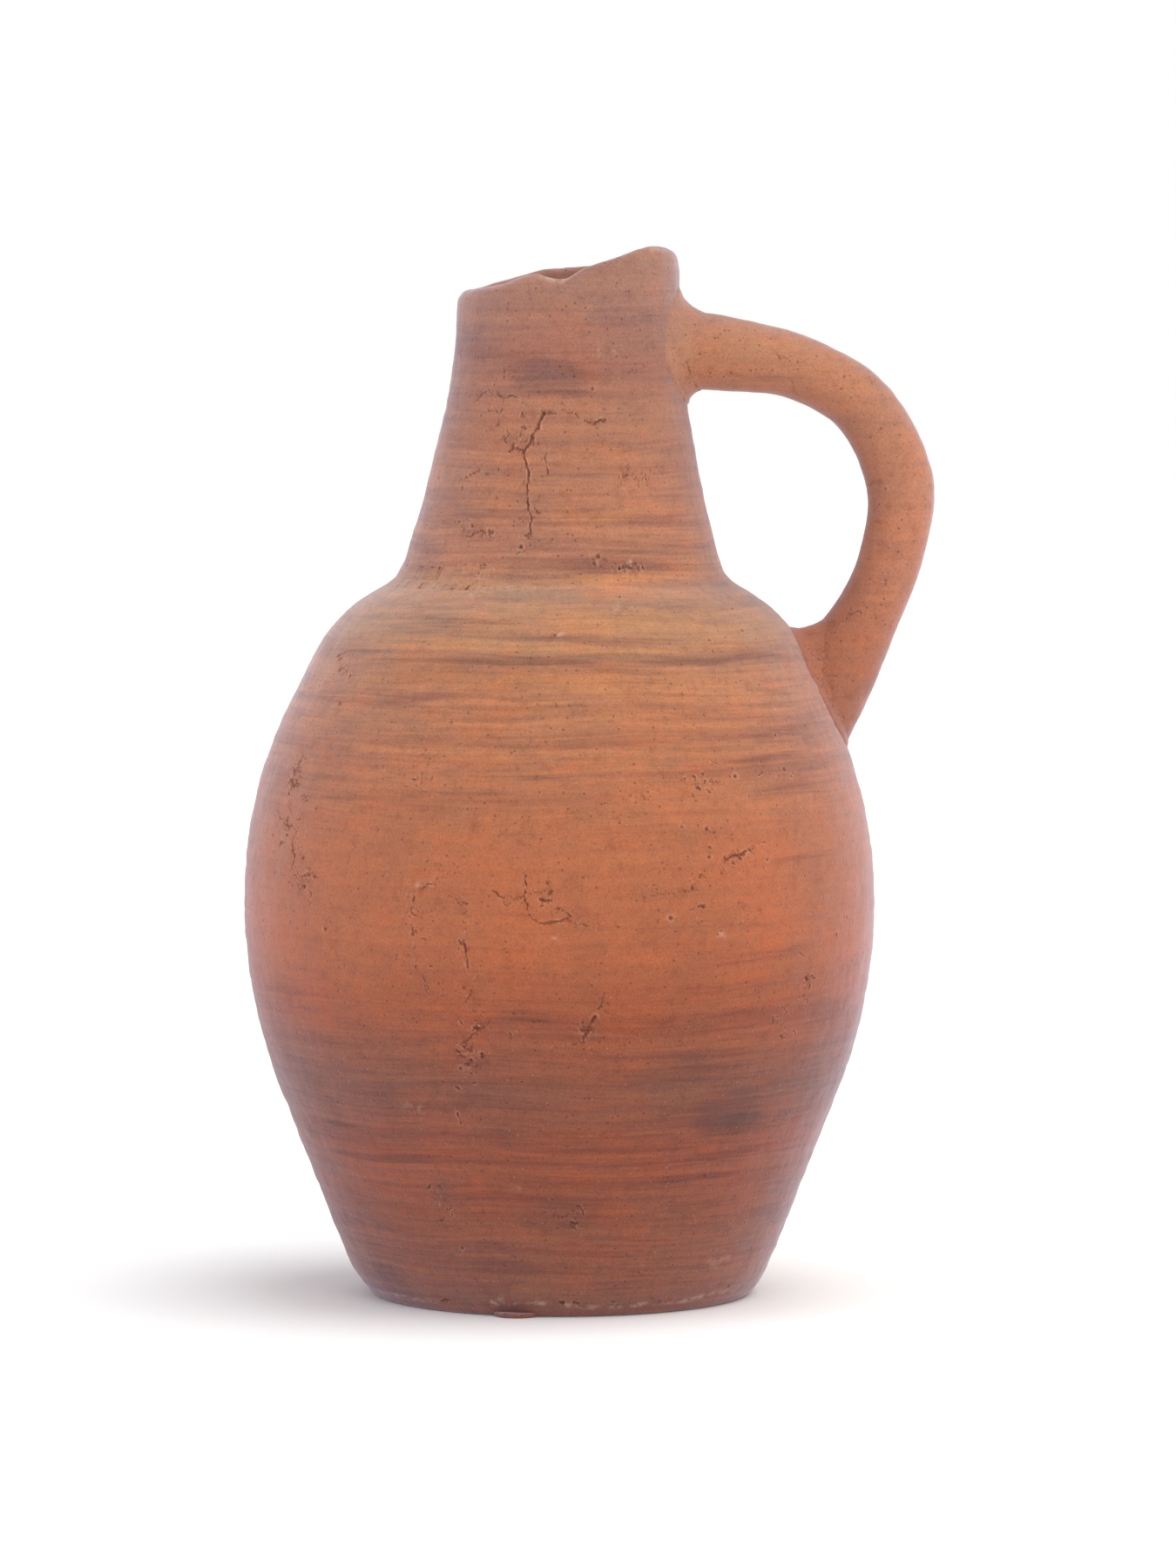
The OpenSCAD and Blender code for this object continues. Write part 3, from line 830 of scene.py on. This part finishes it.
# Streaks that run level round the jug: long, thin, broken and slightly wavy
streaks = bpy.data.node_groups.new("wheel_streaks", "ShaderNodeTree")
for name in ("Fine", "Broad", "Ridges", "Smears"):
    streaks.interface.new_socket(name, in_out="OUTPUT", socket_type="NodeSocketFloat")
own = add(streaks, "TexCoord")["Object"]
wave = noise(streaks, own, 14, 1)
wavy = add(streaks, "SeparateXYZ", {0: own})
wavy_z = maths(streaks, "MULTIPLY_ADD", wave, 0.006, wavy[2])
level_coords = add(streaks, "CombineXYZ", {0: wavy[0], 1: wavy[1],
                                           2: maths(streaks, "MULTIPLY", wavy_z, 26)})[0]
fine_streaks = noise(streaks, level_coords, 36, 4, 0.6)
broad_streaks = noise(streaks, level_coords, 11, 4, 0.62)
ridge_lines = noise(streaks, level_coords, 50, 2, 0.5)
flat_coords = add(streaks, "CombineXYZ", {0: wavy[0], 1: wavy[1],
                                          2: maths(streaks, "MULTIPLY", wavy_z, 5)})[0]
smear_patches = noise(streaks, flat_coords, 55, 4, 0.65)
ends = streaks.nodes.new("NodeGroupOutput")
streaks.links.new(smear_patches, ends.inputs["Smears"])
streaks.links.new(fine_streaks, ends.inputs["Fine"])
streaks.links.new(broad_streaks, ends.inputs["Broad"])
streaks.links.new(ridge_lines, ends.inputs["Ridges"])

# The whole clay surface: takes the plain clay's colour, gives colour, roughness and height
surface = bpy.data.node_groups.new("clay_surface", "ShaderNodeTree")
surface.interface.new_socket("Clay", in_out="INPUT", socket_type="NodeSocketColor")
surface.interface.new_socket("Colour", in_out="OUTPUT", socket_type="NodeSocketColor")
surface.interface.new_socket("Roughness", in_out="OUTPUT", socket_type="NodeSocketFloat")
surface.interface.new_socket("Height", in_out="OUTPUT", socket_type="NodeSocketFloat")
clay = surface.nodes.new("NodeGroupInput").outputs["Clay"]
own = add(surface, "TexCoord")["Object"]
drawn = surface.nodes.new("ShaderNodeGroup")
drawn.node_tree = streaks
fine, broad, ridges = (drawn.outputs[name] for name in ("Fine", "Broad", "Ridges"))
smears = drawn.outputs["Smears"]
patches = noise(surface, own, 38, 3, 0.55)
mottle = noise(surface, own, 330, 3, 0.6)
grain = noise(surface, own, 1900, 2, 0.6)
streaky = painted(surface, "streaky")
crack = painted(surface, "crack")

# Warm and cool patches, mottling and grain, each lighter one way and darker the other
colour = clay
for pattern, low, high, by in [
        (patches, 0.42, 0.72, (1.10, 0.99, 0.90, 1)), (patches, 0.50, 0.25, (0.89, 0.90, 0.96, 1)),
        (mottle, 0.50, 0.80, (1.12, 1.10, 1.06, 1)), (mottle, 0.50, 0.22, (0.84, 0.80, 0.78, 1)),
        (grain, 0.50, 0.74, (1.16, 1.15, 1.13, 1)), (grain, 0.50, 0.26, (0.78, 0.74, 0.73, 1))]:
    colour = tint(surface, colour, rise(surface, pattern, low, high), by)

dull_smear = maths(surface, "MULTIPLY_ADD", streaky, 0.7, 0.3)
red_smear = maths(surface, "MULTIPLY", dull_smear, rise(surface, smears, 0.48, 0.34))
dull_smear = maths(surface, "MULTIPLY", dull_smear, rise(surface, smears, 0.52, 0.66))
colour = tint(surface, colour, dull_smear, (0.86, 0.90, 0.97, 1))
colour = tint(surface, colour, red_smear, (1.12, 0.99, 0.88, 1))

# Streaks all over, then the painted bands, each broken up by the streaks
for pattern, low, high, by in [
        (fine, 0.50, 0.66, (0.80, 0.79, 0.83, 1)), (fine, 0.50, 0.34, (1.12, 1.12, 1.04, 1)),
        (broad, 0.49, 0.61, (0.82, 0.80, 0.84, 1)), (broad, 0.51, 0.39, (1.08, 1.11, 1.02, 1))]:
    streak = maths(surface, "MULTIPLY", streaky, rise(surface, pattern, low, high))
    colour = tint(surface, colour, streak, by)
breaks = maths(surface, "MULTIPLY_ADD", fine, 1.0, -1.0)
breaks = maths(surface, "MULTIPLY_ADD", broad, 1.4, breaks)
breaks = maths(surface, "MULTIPLY_ADD", mottle, 0.4, maths(surface, "SUBTRACT", breaks, 0.4))
bands = {"warm_slip": (1.12, 1.12, 0.96, 1), "grey_slip": (0.88, 1.00, 1.10, 1),
         "dark_slip": (0.76, 0.75, 0.83, 1)}
for kind, band_colour in bands.items():
    stroke = painted(surface, kind)
    # a stroke of no strength stays clear, and a strong one is solid
    shown = rise(surface, maths(surface, "ADD", breaks, stroke), 0.10, 0.95)
    shown = maths(surface, "MULTIPLY", shown, rise(surface, stroke, 0.0, 0.5))
    colour = tint(surface, colour, shown, band_colour)

# Pores, grog, cracks and scuffs
pores = add(surface, "TexVoronoi", {"Vector": own, "Scale": 640})
pore_dots = maths(surface, "MULTIPLY", rise(surface, pores["Distance"], 0.28, 0.12),
                  rise(surface, pores["Color"], 0.68, 0.74))
grog = add(surface, "TexVoronoi", {"Vector": own, "Scale": 740})
grog_dots = maths(surface, "MULTIPLY", rise(surface, grog["Distance"], 0.28, 0.14),
                  rise(surface, grog["Color"], 0.80, 0.84))
# Painted shade: the pores are darkened, as shade in the pits.
colour = tint(surface, colour, pore_dots, (0.66, 0.60, 0.58, 1))
colour = cover(surface, colour, maths(surface, "MULTIPLY", grog_dots, 0.15),
               (0.58, 0.36, 0.26, 1))
# Painted highlight: the raised rims round the cracks are painted paler, as if lit.
rim_highlight = maths(surface, "MULTIPLY", painted(surface, "crack_rim_highlight"), rise(surface, mottle, 0.38, 0.60))
colour = cover(surface, colour, maths(surface, "MULTIPLY", rim_highlight, 0.36), (0.56, 0.33, 0.22, 1))
# Painted shade: the cracks and pits are darkened inside, where shade falls.
colour = tint(surface, colour, crack, (0.57, 0.46, 0.43, 1))
scuffed = maths(surface, "MULTIPLY", painted(surface, "pale_scuff"),
                rise(surface, mottle, 0.44, 0.66))
colour = cover(surface, colour, maths(surface, "MULTIPLY", scuffed, 0.7),
               (0.60, 0.42, 0.33, 1))

roughness = maths(surface, "MULTIPLY_ADD", mottle, 0.12, 0.80)
lift = maths(surface, "MULTIPLY_ADD", grain, 0.10, maths(surface, "MULTIPLY", mottle, 0.35))
lift = maths(surface, "MULTIPLY_ADD", maths(surface, "MULTIPLY", ridges, streaky), 0.35, lift)
lift = maths(surface, "MULTIPLY_ADD", pore_dots, -0.45, lift)
lift = maths(surface, "MULTIPLY_ADD", grog_dots, 0.15, lift)
ends = surface.nodes.new("NodeGroupOutput")
surface.links.new(colour, ends.inputs["Colour"])
surface.links.new(roughness, ends.inputs["Roughness"])
surface.links.new(lift, ends.inputs["Height"])


def fired_clay(name, tones):
    """A material of this clay. tones: height in millimetres and the colour there, partly painted
    shade on the body.
    """
    material = bpy.data.materials.new(name)
    material.use_nodes = True
    tree = material.node_tree
    shader = tree.nodes["Principled BSDF"]
    up = add(tree, "SeparateXYZ", {0: add(tree, "TexCoord")["Object"]})[2]
    lowest, highest = tones[0][0], tones[-1][0]
    share = add(tree, "MapRange", {0: up, 1: lowest * MM, 2: highest * MM})[0]
    ramp = tree.nodes.new("ShaderNodeValToRGB")
    ramp.color_ramp.elements[0].color = (*tones[0][1], 1)
    ramp.color_ramp.elements[1].color = (*tones[-1][1], 1)
    for z, tone in tones[1:-1]:
        ramp.color_ramp.elements.new((z - lowest) / (highest - lowest)).color = (*tone, 1)
    tree.links.new(share, ramp.inputs[0])
    group = tree.nodes.new("ShaderNodeGroup")
    group.node_tree = surface
    tree.links.new(ramp.outputs["Color"], group.inputs["Clay"])
    bump = tree.nodes.new("ShaderNodeBump")
    bump.inputs["Distance"].default_value = 0.5 * MM
    bump.inputs["Strength"].default_value = 0.8
    tree.links.new(group.outputs["Height"], bump.inputs["Height"])
    tree.links.new(group.outputs["Colour"], shader.inputs["Base Color"])
    tree.links.new(group.outputs["Roughness"], shader.inputs["Roughness"])
    tree.links.new(bump.outputs["Normal"], shader.inputs["Normal"])
    shader.inputs["Specular IOR Level"].default_value = 0.25
    shader.inputs["Sheen Weight"].default_value = 0.55
    shader.inputs["Sheen Roughness"].default_value = 0.42
    shader.inputs["Sheen Tint"].default_value = (0.86, 0.86, 1.0, 1)
    return material


# ---- Floor slab -----------------------------------------------------------------------
# The disc of clay that closes the bottom, cut off the wheel with a wire. A raised plug in
# its middle fits inside the wall. A scrap of clay, never trimmed off, juts out in front.

slab_tones = [(0, (0.235, 0.086, 0.058)), (10, (0.24, 0.088, 0.058))]
scrap_place = (-11.8 * MM, -51.5 * MM)
scrap_r = 6.5 * MM
scrap_t = 1.6 * MM

floor_slab = parted["floor_slab"]
floor_slab.name = "clay_slab"
close_joint(floor_slab, -1, 1, [(plug_r, seam_z)])
bpy.ops.mesh.primitive_cylinder_add(vertices=48, radius=scrap_r, depth=scrap_t,
                                    location=(*scrap_place, scrap_t / 2))
scrap = bpy.context.object
bpy.ops.object.mode_set(mode="EDIT")
bpy.ops.mesh.select_all(action="SELECT")
bpy.ops.mesh.bevel(offset=0.5 * MM, segments=3)
bpy.ops.mesh.select_all(action="SELECT")
bpy.ops.mesh.subdivide(number_cuts=2)
bpy.ops.object.mode_set(mode="OBJECT")
bpy.ops.object.transform_apply(location=True, rotation=True, scale=True)
co = places(scrap.data)
bend = 1 + 0.08 * np.sin(np.arctan2(co[:, 1], co[:, 0]) * 90)
co[:, 2] *= 0.85 + 0.1 * np.sin(co[:, 0] * 1100) * bend
put_back(scrap.data, co)
paint(scrap, "pale_scuff", ease(0.8 * MM, 1.4 * MM, co[:, 2]) * 0.5)
paint(scrap, "dark_slip", np.full(len(co), 0.3))
bpy.ops.object.select_all(action="DESELECT")
scrap.select_set(True)
floor_slab.select_set(True)
bpy.context.view_layer.objects.active = floor_slab
bpy.ops.object.join()
finish_clay(floor_slab)
floor_slab.data.materials.append(fired_clay("foot_clay", slab_tones))
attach(floor_slab, "root")
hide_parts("floor_slab")


# ---- Lower bowl -----------------------------------------------------------------------
# The lower half of the body, thrown on the wheel and stood on the slab. Its rim has a
# V groove for the upper bowl's ridge. Darker and greyer towards the foot: partly the
# clay's own colour and partly painted shade.

# Colour up the body: darker towards the foot and lighter on the shoulder. This is partly the clay's
# own colour, and partly painted shade low down and painted light on the shoulder.
body_tones_and_shade = [(0, (0.245, 0.090, 0.060)), (12, (0.238, 0.088, 0.057)),
              (28, (0.217, 0.068, 0.039)), (48, (0.240, 0.067, 0.035)),
              (66, (0.199, 0.072, 0.045)), (88, (0.273, 0.077, 0.036)),
              (108, (0.362, 0.109, 0.046)), (135, (0.368, 0.122, 0.054)),
              (155, (0.352, 0.131, 0.065)), (178, (0.368, 0.152, 0.077)),
              (190, (0.361, 0.167, 0.088)), (206, (0.393, 0.196, 0.098))]
ridge_depth = 2.5 * MM                 # the belly joint's V, in the middle of the wall
body_clay = fired_clay("body_clay", body_tones_and_shade)
ridge_ring = (belly_r - wall / 2, belly_z - ridge_depth)

lower_bowl = parted["lower_bowl"]
lower_bowl.name = "clay_lower_bowl"
close_joint(lower_bowl, 60 * MM, 1, [ridge_ring])
close_joint(lower_bowl, -1, 60 * MM, [(plug_r, seam_z)])
finish_clay(lower_bowl)
lower_bowl.data.materials.append(body_clay)
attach(lower_bowl, "root")
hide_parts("lower_bowl")


# ---- Upper bowl -----------------------------------------------------------------------
# The upper half of the body, thrown separately, turned over and pressed rim to rim on the
# lower one. Its mouth is cut back in a step, which the neck drops into.

step_r = inner_mouth_r + 3 * MM
neck_corner = (neck_foot_r, seat_z)
neck_step = [neck_corner, (step_r, seat_z), (step_r, seat_z - spigot)]

upper_bowl = parted["upper_bowl"]
upper_bowl.name = "clay_upper_bowl"
close_joint(upper_bowl, 150 * MM, 1, neck_step)
close_joint(upper_bowl, -1, 150 * MM, [ridge_ring])
finish_clay(upper_bowl)
upper_bowl.data.materials.append(body_clay)
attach(upper_bowl, "root")
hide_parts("upper_bowl")


# ---- Neck -----------------------------------------------------------------------------
# Thrown as a separate tube that narrows upwards, with a thick rolled lip, cut at a slant
# and worn. Its lower end is a spigot that drops into the shoulder.

neck_tones = [(200, (0.388, 0.191, 0.098)), (212, (0.392, 0.167, 0.096)),
              (225, (0.373, 0.156, 0.089)), (250, (0.336, 0.146, 0.088)),
              (270, (0.290, 0.123, 0.086)), (285, (0.321, 0.157, 0.112)),
              (302, (0.315, 0.151, 0.107))]
neck_clay = fired_clay("neck_clay", neck_tones)

neck = parted["neck"]
neck.name = "clay_neck"
close_joint(neck, -1, 1, neck_step)
finish_clay(neck)
neck.data.materials.append(neck_clay)
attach(neck, "root")
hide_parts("neck")


# ---- Neck luting coil -----------------------------------------------------------------
# A thin coil of soft clay, pressed into the corner between the shoulder and the neck and
# smoothed with a fingertip.

coil = parted["neck_luting_coil"]
coil.name = "clay_neck_coil"
close_joint(coil, -1, 1, [neck_corner])
finish_clay(coil)
coil.data.materials.append(neck_clay)
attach(coil, "root")
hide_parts("neck_luting_coil")


# ---- Handle ---------------------------------------------------------------------------
# A rolled rod of clay, a little wider than thick, pulled thinner in the middle, bent by
# hand and pressed on while soft. Its lower end spreads on the shoulder.

grip_t = 18.6 * MM                     # thickness at the middle of the bow
grip_w = 22 * MM                       # width there
sunk = 4.2 * MM                        # its lower end stops this deep in the shoulder's wall
handle_sides = 32
handle_step = 2.6 * MM
handle_tones = [(150, (0.335, 0.124, 0.074)), (175, (0.323, 0.127, 0.078)),
                (215, (0.437, 0.177, 0.103)), (240, (0.399, 0.171, 0.102)),
                (256, (0.399, 0.173, 0.102)), (268, (0.381, 0.175, 0.104)),
                (285, (0.363, 0.169, 0.106))]

# The rod's centre line: place and height, and its thickness and width as shares of the
# grip's. The first and the last only steer the curve.
handle_knots = [(2, 271, 1.25, 1.25), (15, 271, 1.25, 1.25), (28, 270.7, 1.25, 1.22),
                (47, 269.3, 1.14, 1.12), (68, 265.4, 1.02, 1.02), (86.6, 254.2, 0.97, 1.00),
                (97.3, 233, 1.04, 1.00), (95, 211.5, 0.97, 1.00), (87.8, 194.5, 1.02, 1.04),
                (77, 176, 1.36, 1.14), (66, 160, 1.62, 1.20), (56, 146, 1.70, 1.20)]


def between(before, start, end, after, s):
    """A point of the smooth curve through start and end, at the share s between them."""
    return 0.5 * (2 * start + (end - before) * s + (2 * before - 5 * start + 4 * end - after) * s * s
                  + (3 * start - before - 3 * end + after) * s * s * s)


def stations(knots, first, last, step):
    """Evenly spaced rows (x, z, half thickness, half width) along the handle, in metres."""
    rows = np.array(knots) * (MM, MM, grip_t / 2, grip_w / 2)
    fine = [between(*rows[i - 1:i + 3], k / 60) for i in range(first, last) for k in range(60)]
    fine = np.array(fine + [rows[last]])
    way = np.concatenate([[0], np.cumsum(np.hypot(*np.diff(fine[:, :2], axis=0).T))])
    even = np.linspace(0, way[-1], max(2, round(way[-1] / step)) + 1)
    return np.stack([np.interp(even, way, fine[:, i]) for i in range(4)], axis=1)


def rod(name, rows, sides, rings):
    """A round bar drawn up ring by ring, then bent along the rows. rings: (row, growth)."""
    bpy.ops.object.select_all(action="DESELECT")
    bpy.ops.mesh.primitive_circle_add(vertices=sides, radius=1, location=(0, 0, 0),
                                      enter_editmode=True)
    bpy.ops.mesh.select_mode(type="EDGE")
    bpy.ops.mesh.select_all(action="SELECT")
    for _ in rings[1:]:
        bpy.ops.mesh.extrude_region_move(TRANSFORM_OT_translate={"value": (0, 0, 1)})
    bpy.ops.object.mode_set(mode="OBJECT")
    made = bpy.context.object
    made.name = name
    co = places(made.data)
    ring = np.round(co[:, 2]).astype(int)
    at = np.array([row for row, _ in rings])[ring]
    growth = np.array([grow for _, grow in rings])[ring]
    run = np.gradient(rows[:, :2], axis=0)
    run /= np.hypot(*run.T)[:, None]
    x, z, half_t, half_w = rows[at].T
    thick = co[:, 0] * (half_t + growth)
    bent = np.stack([x - run[at, 1] * thick, co[:, 1] * (half_w + growth),
                     z + run[at, 0] * thick], axis=1)
    put_back(made.data, bent)
    return made


# Outline of the jug's outer skin, for finding how far a point is from it
outline = [ring for name, rings in stretches[:4] for ring in rings]
outline += arc(neck_c, neck_arc_r, neck_angle(coil_high[1]), neck_angle(lip_z), 6 * MM)
outline_r, outline_z = (np.array(part) for part in zip(*outline))


def outside_gap(co):
    """Distance outwards of each point from the jug's outer skin, measured level."""
    leaning = lean * ease(lean_from, lip_z, co[:, 2])
    return np.hypot(co[:, 0] - leaning, co[:, 1]) - np.interp(co[:, 2], outline_z, outline_r)


def smooth_out(piece, levels):
    modifier = piece.modifiers.new("smooth", "SUBSURF")
    modifier.levels = modifier.render_levels = levels
    bpy.context.view_layer.objects.active = piece
    bpy.ops.object.modifier_apply(modifier="smooth")


rows = stations(handle_knots, 2, 10, handle_step)
handle = rod("clay_handle", rows, handle_sides, [(i, 0) for i in range(len(rows))])
edit_open_rims(handle)
bpy.ops.mesh.fill_holes(sides=0)
bpy.ops.object.mode_set(mode="OBJECT")
co = places(handle.data)
deep = np.minimum(0, outside_gap(co) + sunk) * (co[:, 2] < 220 * MM)
co[:, 0] -= deep
put_back(handle.data, co)
smooth_out(handle, 2)
lumps(handle, "uneven_roll", 26 * MM, 1.2 * MM)
lumps(handle, "pressed_clay", 9 * MM, 0.4 * MM)
lumps(handle, "grit", 3 * MM, 0.14 * MM)
handle_marks = []
for width, depth, points in [
        (0.4, 0.4, [(62, 269), (65, 268)]), (0.5, 0.4, [(88, 232), (92, 233)]),
        (0.6, 0.5, [(89, 221), (92, 222), (94, 221)]), (0.4, 0.3, [(78, 193), (82, 194)]),
        (0.6, 0.5, [(83, 195), (86, 196)]), (0.3, 0.3, [(66, 262), (67, 259)])]:
    handle_marks += mark(handle, -1, width, depth, points)
handle_marks += pits(handle, -1, [(47, 276, 0.9), (81, 263, 1.0), (83, 257, 0.8), (93, 231, 1.0),
                                  (93, 205, 0.8), (96, 240, 0.7), (84, 250, 0.8), (90, 262, 0.6)])
for _ in range(24):
    x, z, _, half_w = rows[wander.randrange(6, len(rows) - 8)]
    place = Vector((x + wander.uniform(-6, 6) * MM, 0, z + wander.uniform(-6, 6) * MM))
    side = wander.choice([-1, 1])
    hit = seen_from(handle, side, place.x, place.z)
    if hit:
        size = wander.choice([0.3, 0.4, 0.6])
        handle_marks.append((hit, size / 2 * MM, 0.5 * size * MM))
handle_marks += pits(handle, -1, [(47, 263, 1.0), (49, 264, 0.9), (43, 264, 0.8)])
carve(handle, handle_marks, 2)
co = places(handle.data)
paint(handle, "streaky", np.full(len(co), 0.18))
paint(handle, "dark_slip", brush(co[:, 0] / MM, co[:, 2] / MM, [
    (94, 214, 6, 3, 0.4), (60, 262, 12, 3, 0.35), (76, 272, 8, 2, 0.4), (90, 200, 8, 6, 0.3)]))
paint(handle, "warm_slip", brush(co[:, 0] / MM, co[:, 2] / MM, [
    (60, 272, 16, 4, 0.5), (84, 260, 8, 6, 0.4), (86, 196, 6, 8, 0.3)]))
finish_clay(handle, 60)
handle_clay = fired_clay("handle_clay", handle_tones)
handle.data.materials.append(handle_clay)
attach(handle, "root")
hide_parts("handle")


# ---- Handle top collar ----------------------------------------------------------------
# Soft clay smeared round the handle's root, thick in the corner with the neck and drawn
# out thin along the handle.

tuck = 0.35 * MM                       # its thin end dips this far under the handle's skin
core = 2 * MM                          # its hidden inner side lies this deep


def collar(name, first, last, step=1.3 * MM):
    """A sleeve on the handle between two knots."""
    rows = stations(handle_knots, first, last, step)
    count = len(rows)
    rings = [(i, 0) for i in range(count)] + [(i, -core) for i in reversed(range(count))]
    sleeve = rod(name, rows, 48, rings)
    edit_open_rims(sleeve)
    bpy.ops.mesh.bridge_edge_loops()
    bpy.ops.object.mode_set(mode="OBJECT")
    smooth_out(sleeve, 1)
    return sleeve, rows


def flare_out(sleeve, rows, hollows, tilt):
    """Pushes the sleeve's outer side away from the handle's line near the wall, so that the
    corner is hollow. hollows: its radius inside the loop, in front and outside the loop.
    tilt: share of a level gap that is square to the wall."""
    co = places(sleeve.data)
    nearest = np.argmin((co[:, None, 0] - rows[None, :, 0]) ** 2
                        + (co[:, None, 2] - rows[None, :, 1]) ** 2, axis=1)
    x, z, half_t, half_w = rows[nearest].T
    run = np.gradient(rows[:, :2], axis=0)[nearest]
    run /= np.hypot(*run.T)[:, None]
    way = np.stack([co[:, 0] - x, co[:, 1], co[:, 2] - z], axis=1)
    outward = way[:, 2] * run[:, 0] - way[:, 0] * run[:, 1]
    skin_there = np.hypot(outward / half_t, co[:, 1] / half_w)
    way /= np.linalg.norm(way, axis=1)[:, None]
    facing = way[:, 2] * run[:, 0] - way[:, 0] * run[:, 1]
    outer = ease(0.84, 0.94, skin_there)
    hollow = np.interp(facing, [-1, -0.2, 0.2, 1], [hollows[0], hollows[1], hollows[1], hollows[2]])
    for _ in range(3):
        gap = np.clip(outside_gap(co) * tilt, 0, hollow)
        push = 0.8 * (hollow - np.sqrt(hollow ** 2 - (hollow - gap) ** 2)) - tuck
        flared = places(sleeve.data) + way * (push * outer)[:, None]
        co = (co + flared) / 2
    radius = np.hypot(co[:, 0], co[:, 1])
    deep = np.minimum(0, outside_gap(co) + sunk)
    co[:, :2] *= ((radius - deep) / radius)[:, None]
    put_back(sleeve.data, co)


top_collar, rows = collar("clay_top_collar", 1, 3)
flare_out(top_collar, rows, (7 * MM, 7 * MM, 9.5 * MM), 1)
lumps(top_collar, "uneven_roll", 26 * MM, 1.2 * MM)
lumps(top_collar, "pressed_clay", 9 * MM, 0.4 * MM)
lumps(top_collar, "smears", 5 * MM, 0.35 * MM)
collar_marks = []
for width, depth, points in [(0.7, 0.7, [(36, 267), (38, 262), (40, 258)]),
                             (0.4, 0.4, [(39, 264), (43, 263)]), (0.5, 0.4, [(34, 262), (36, 258)])]:
    collar_marks += mark(top_collar, -1, width, depth, points)
carve(top_collar, collar_marks, 3)
co = places(top_collar.data)
paint(top_collar, "streaky", np.full(len(co), 0.2))
finish_clay(top_collar, 60)
top_collar.data.materials.append(handle_clay)
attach(top_collar, "root")
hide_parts("handle_top_collar")


# ---- Handle bottom collar -------------------------------------------------------------
# The same at the lower end: smoothed out inside the loop, left as a sharp crease outside.

bottom_collar, rows = collar("clay_bottom_collar", 8, 10)
flare_out(bottom_collar, rows, (13 * MM, 4 * MM, 1.5 * MM), 0.85)
lumps(bottom_collar, "uneven_roll", 26 * MM, 1.2 * MM)
lumps(bottom_collar, "pressed_clay", 9 * MM, 0.4 * MM)
lumps(bottom_collar, "smears", 5 * MM, 0.35 * MM)
collar_marks = []
for width, depth, points in [(0.4, 0.4, [(71, 186), (73, 182)]),
                             (0.4, 0.3, [(75, 176), (78, 170)]),
                             (0.3, 0.3, [(74, 184), (76, 181), (75, 178)])]:
    collar_marks += mark(bottom_collar, -1, width, depth, points)
for _ in range(12):
    start = (wander.uniform(71, 77), wander.uniform(174, 186))
    end = (start[0] + wander.uniform(-1.5, 1.5), start[1] + wander.uniform(-1.5, 1.5))
    collar_marks += mark(bottom_collar, -1, 0.35, 0.3, [start, end])
carve(bottom_collar, collar_marks, 3)
co = places(bottom_collar.data)
paint(bottom_collar, "streaky", np.full(len(co), 0.2))
finish_clay(bottom_collar, 60)
bottom_collar.data.materials.append(handle_clay)
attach(bottom_collar, "root")
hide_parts("handle_bottom_collar")


# ---- Tidying up -----------------------------------------------------------------------

bpy.data.objects.remove(rings_guide)
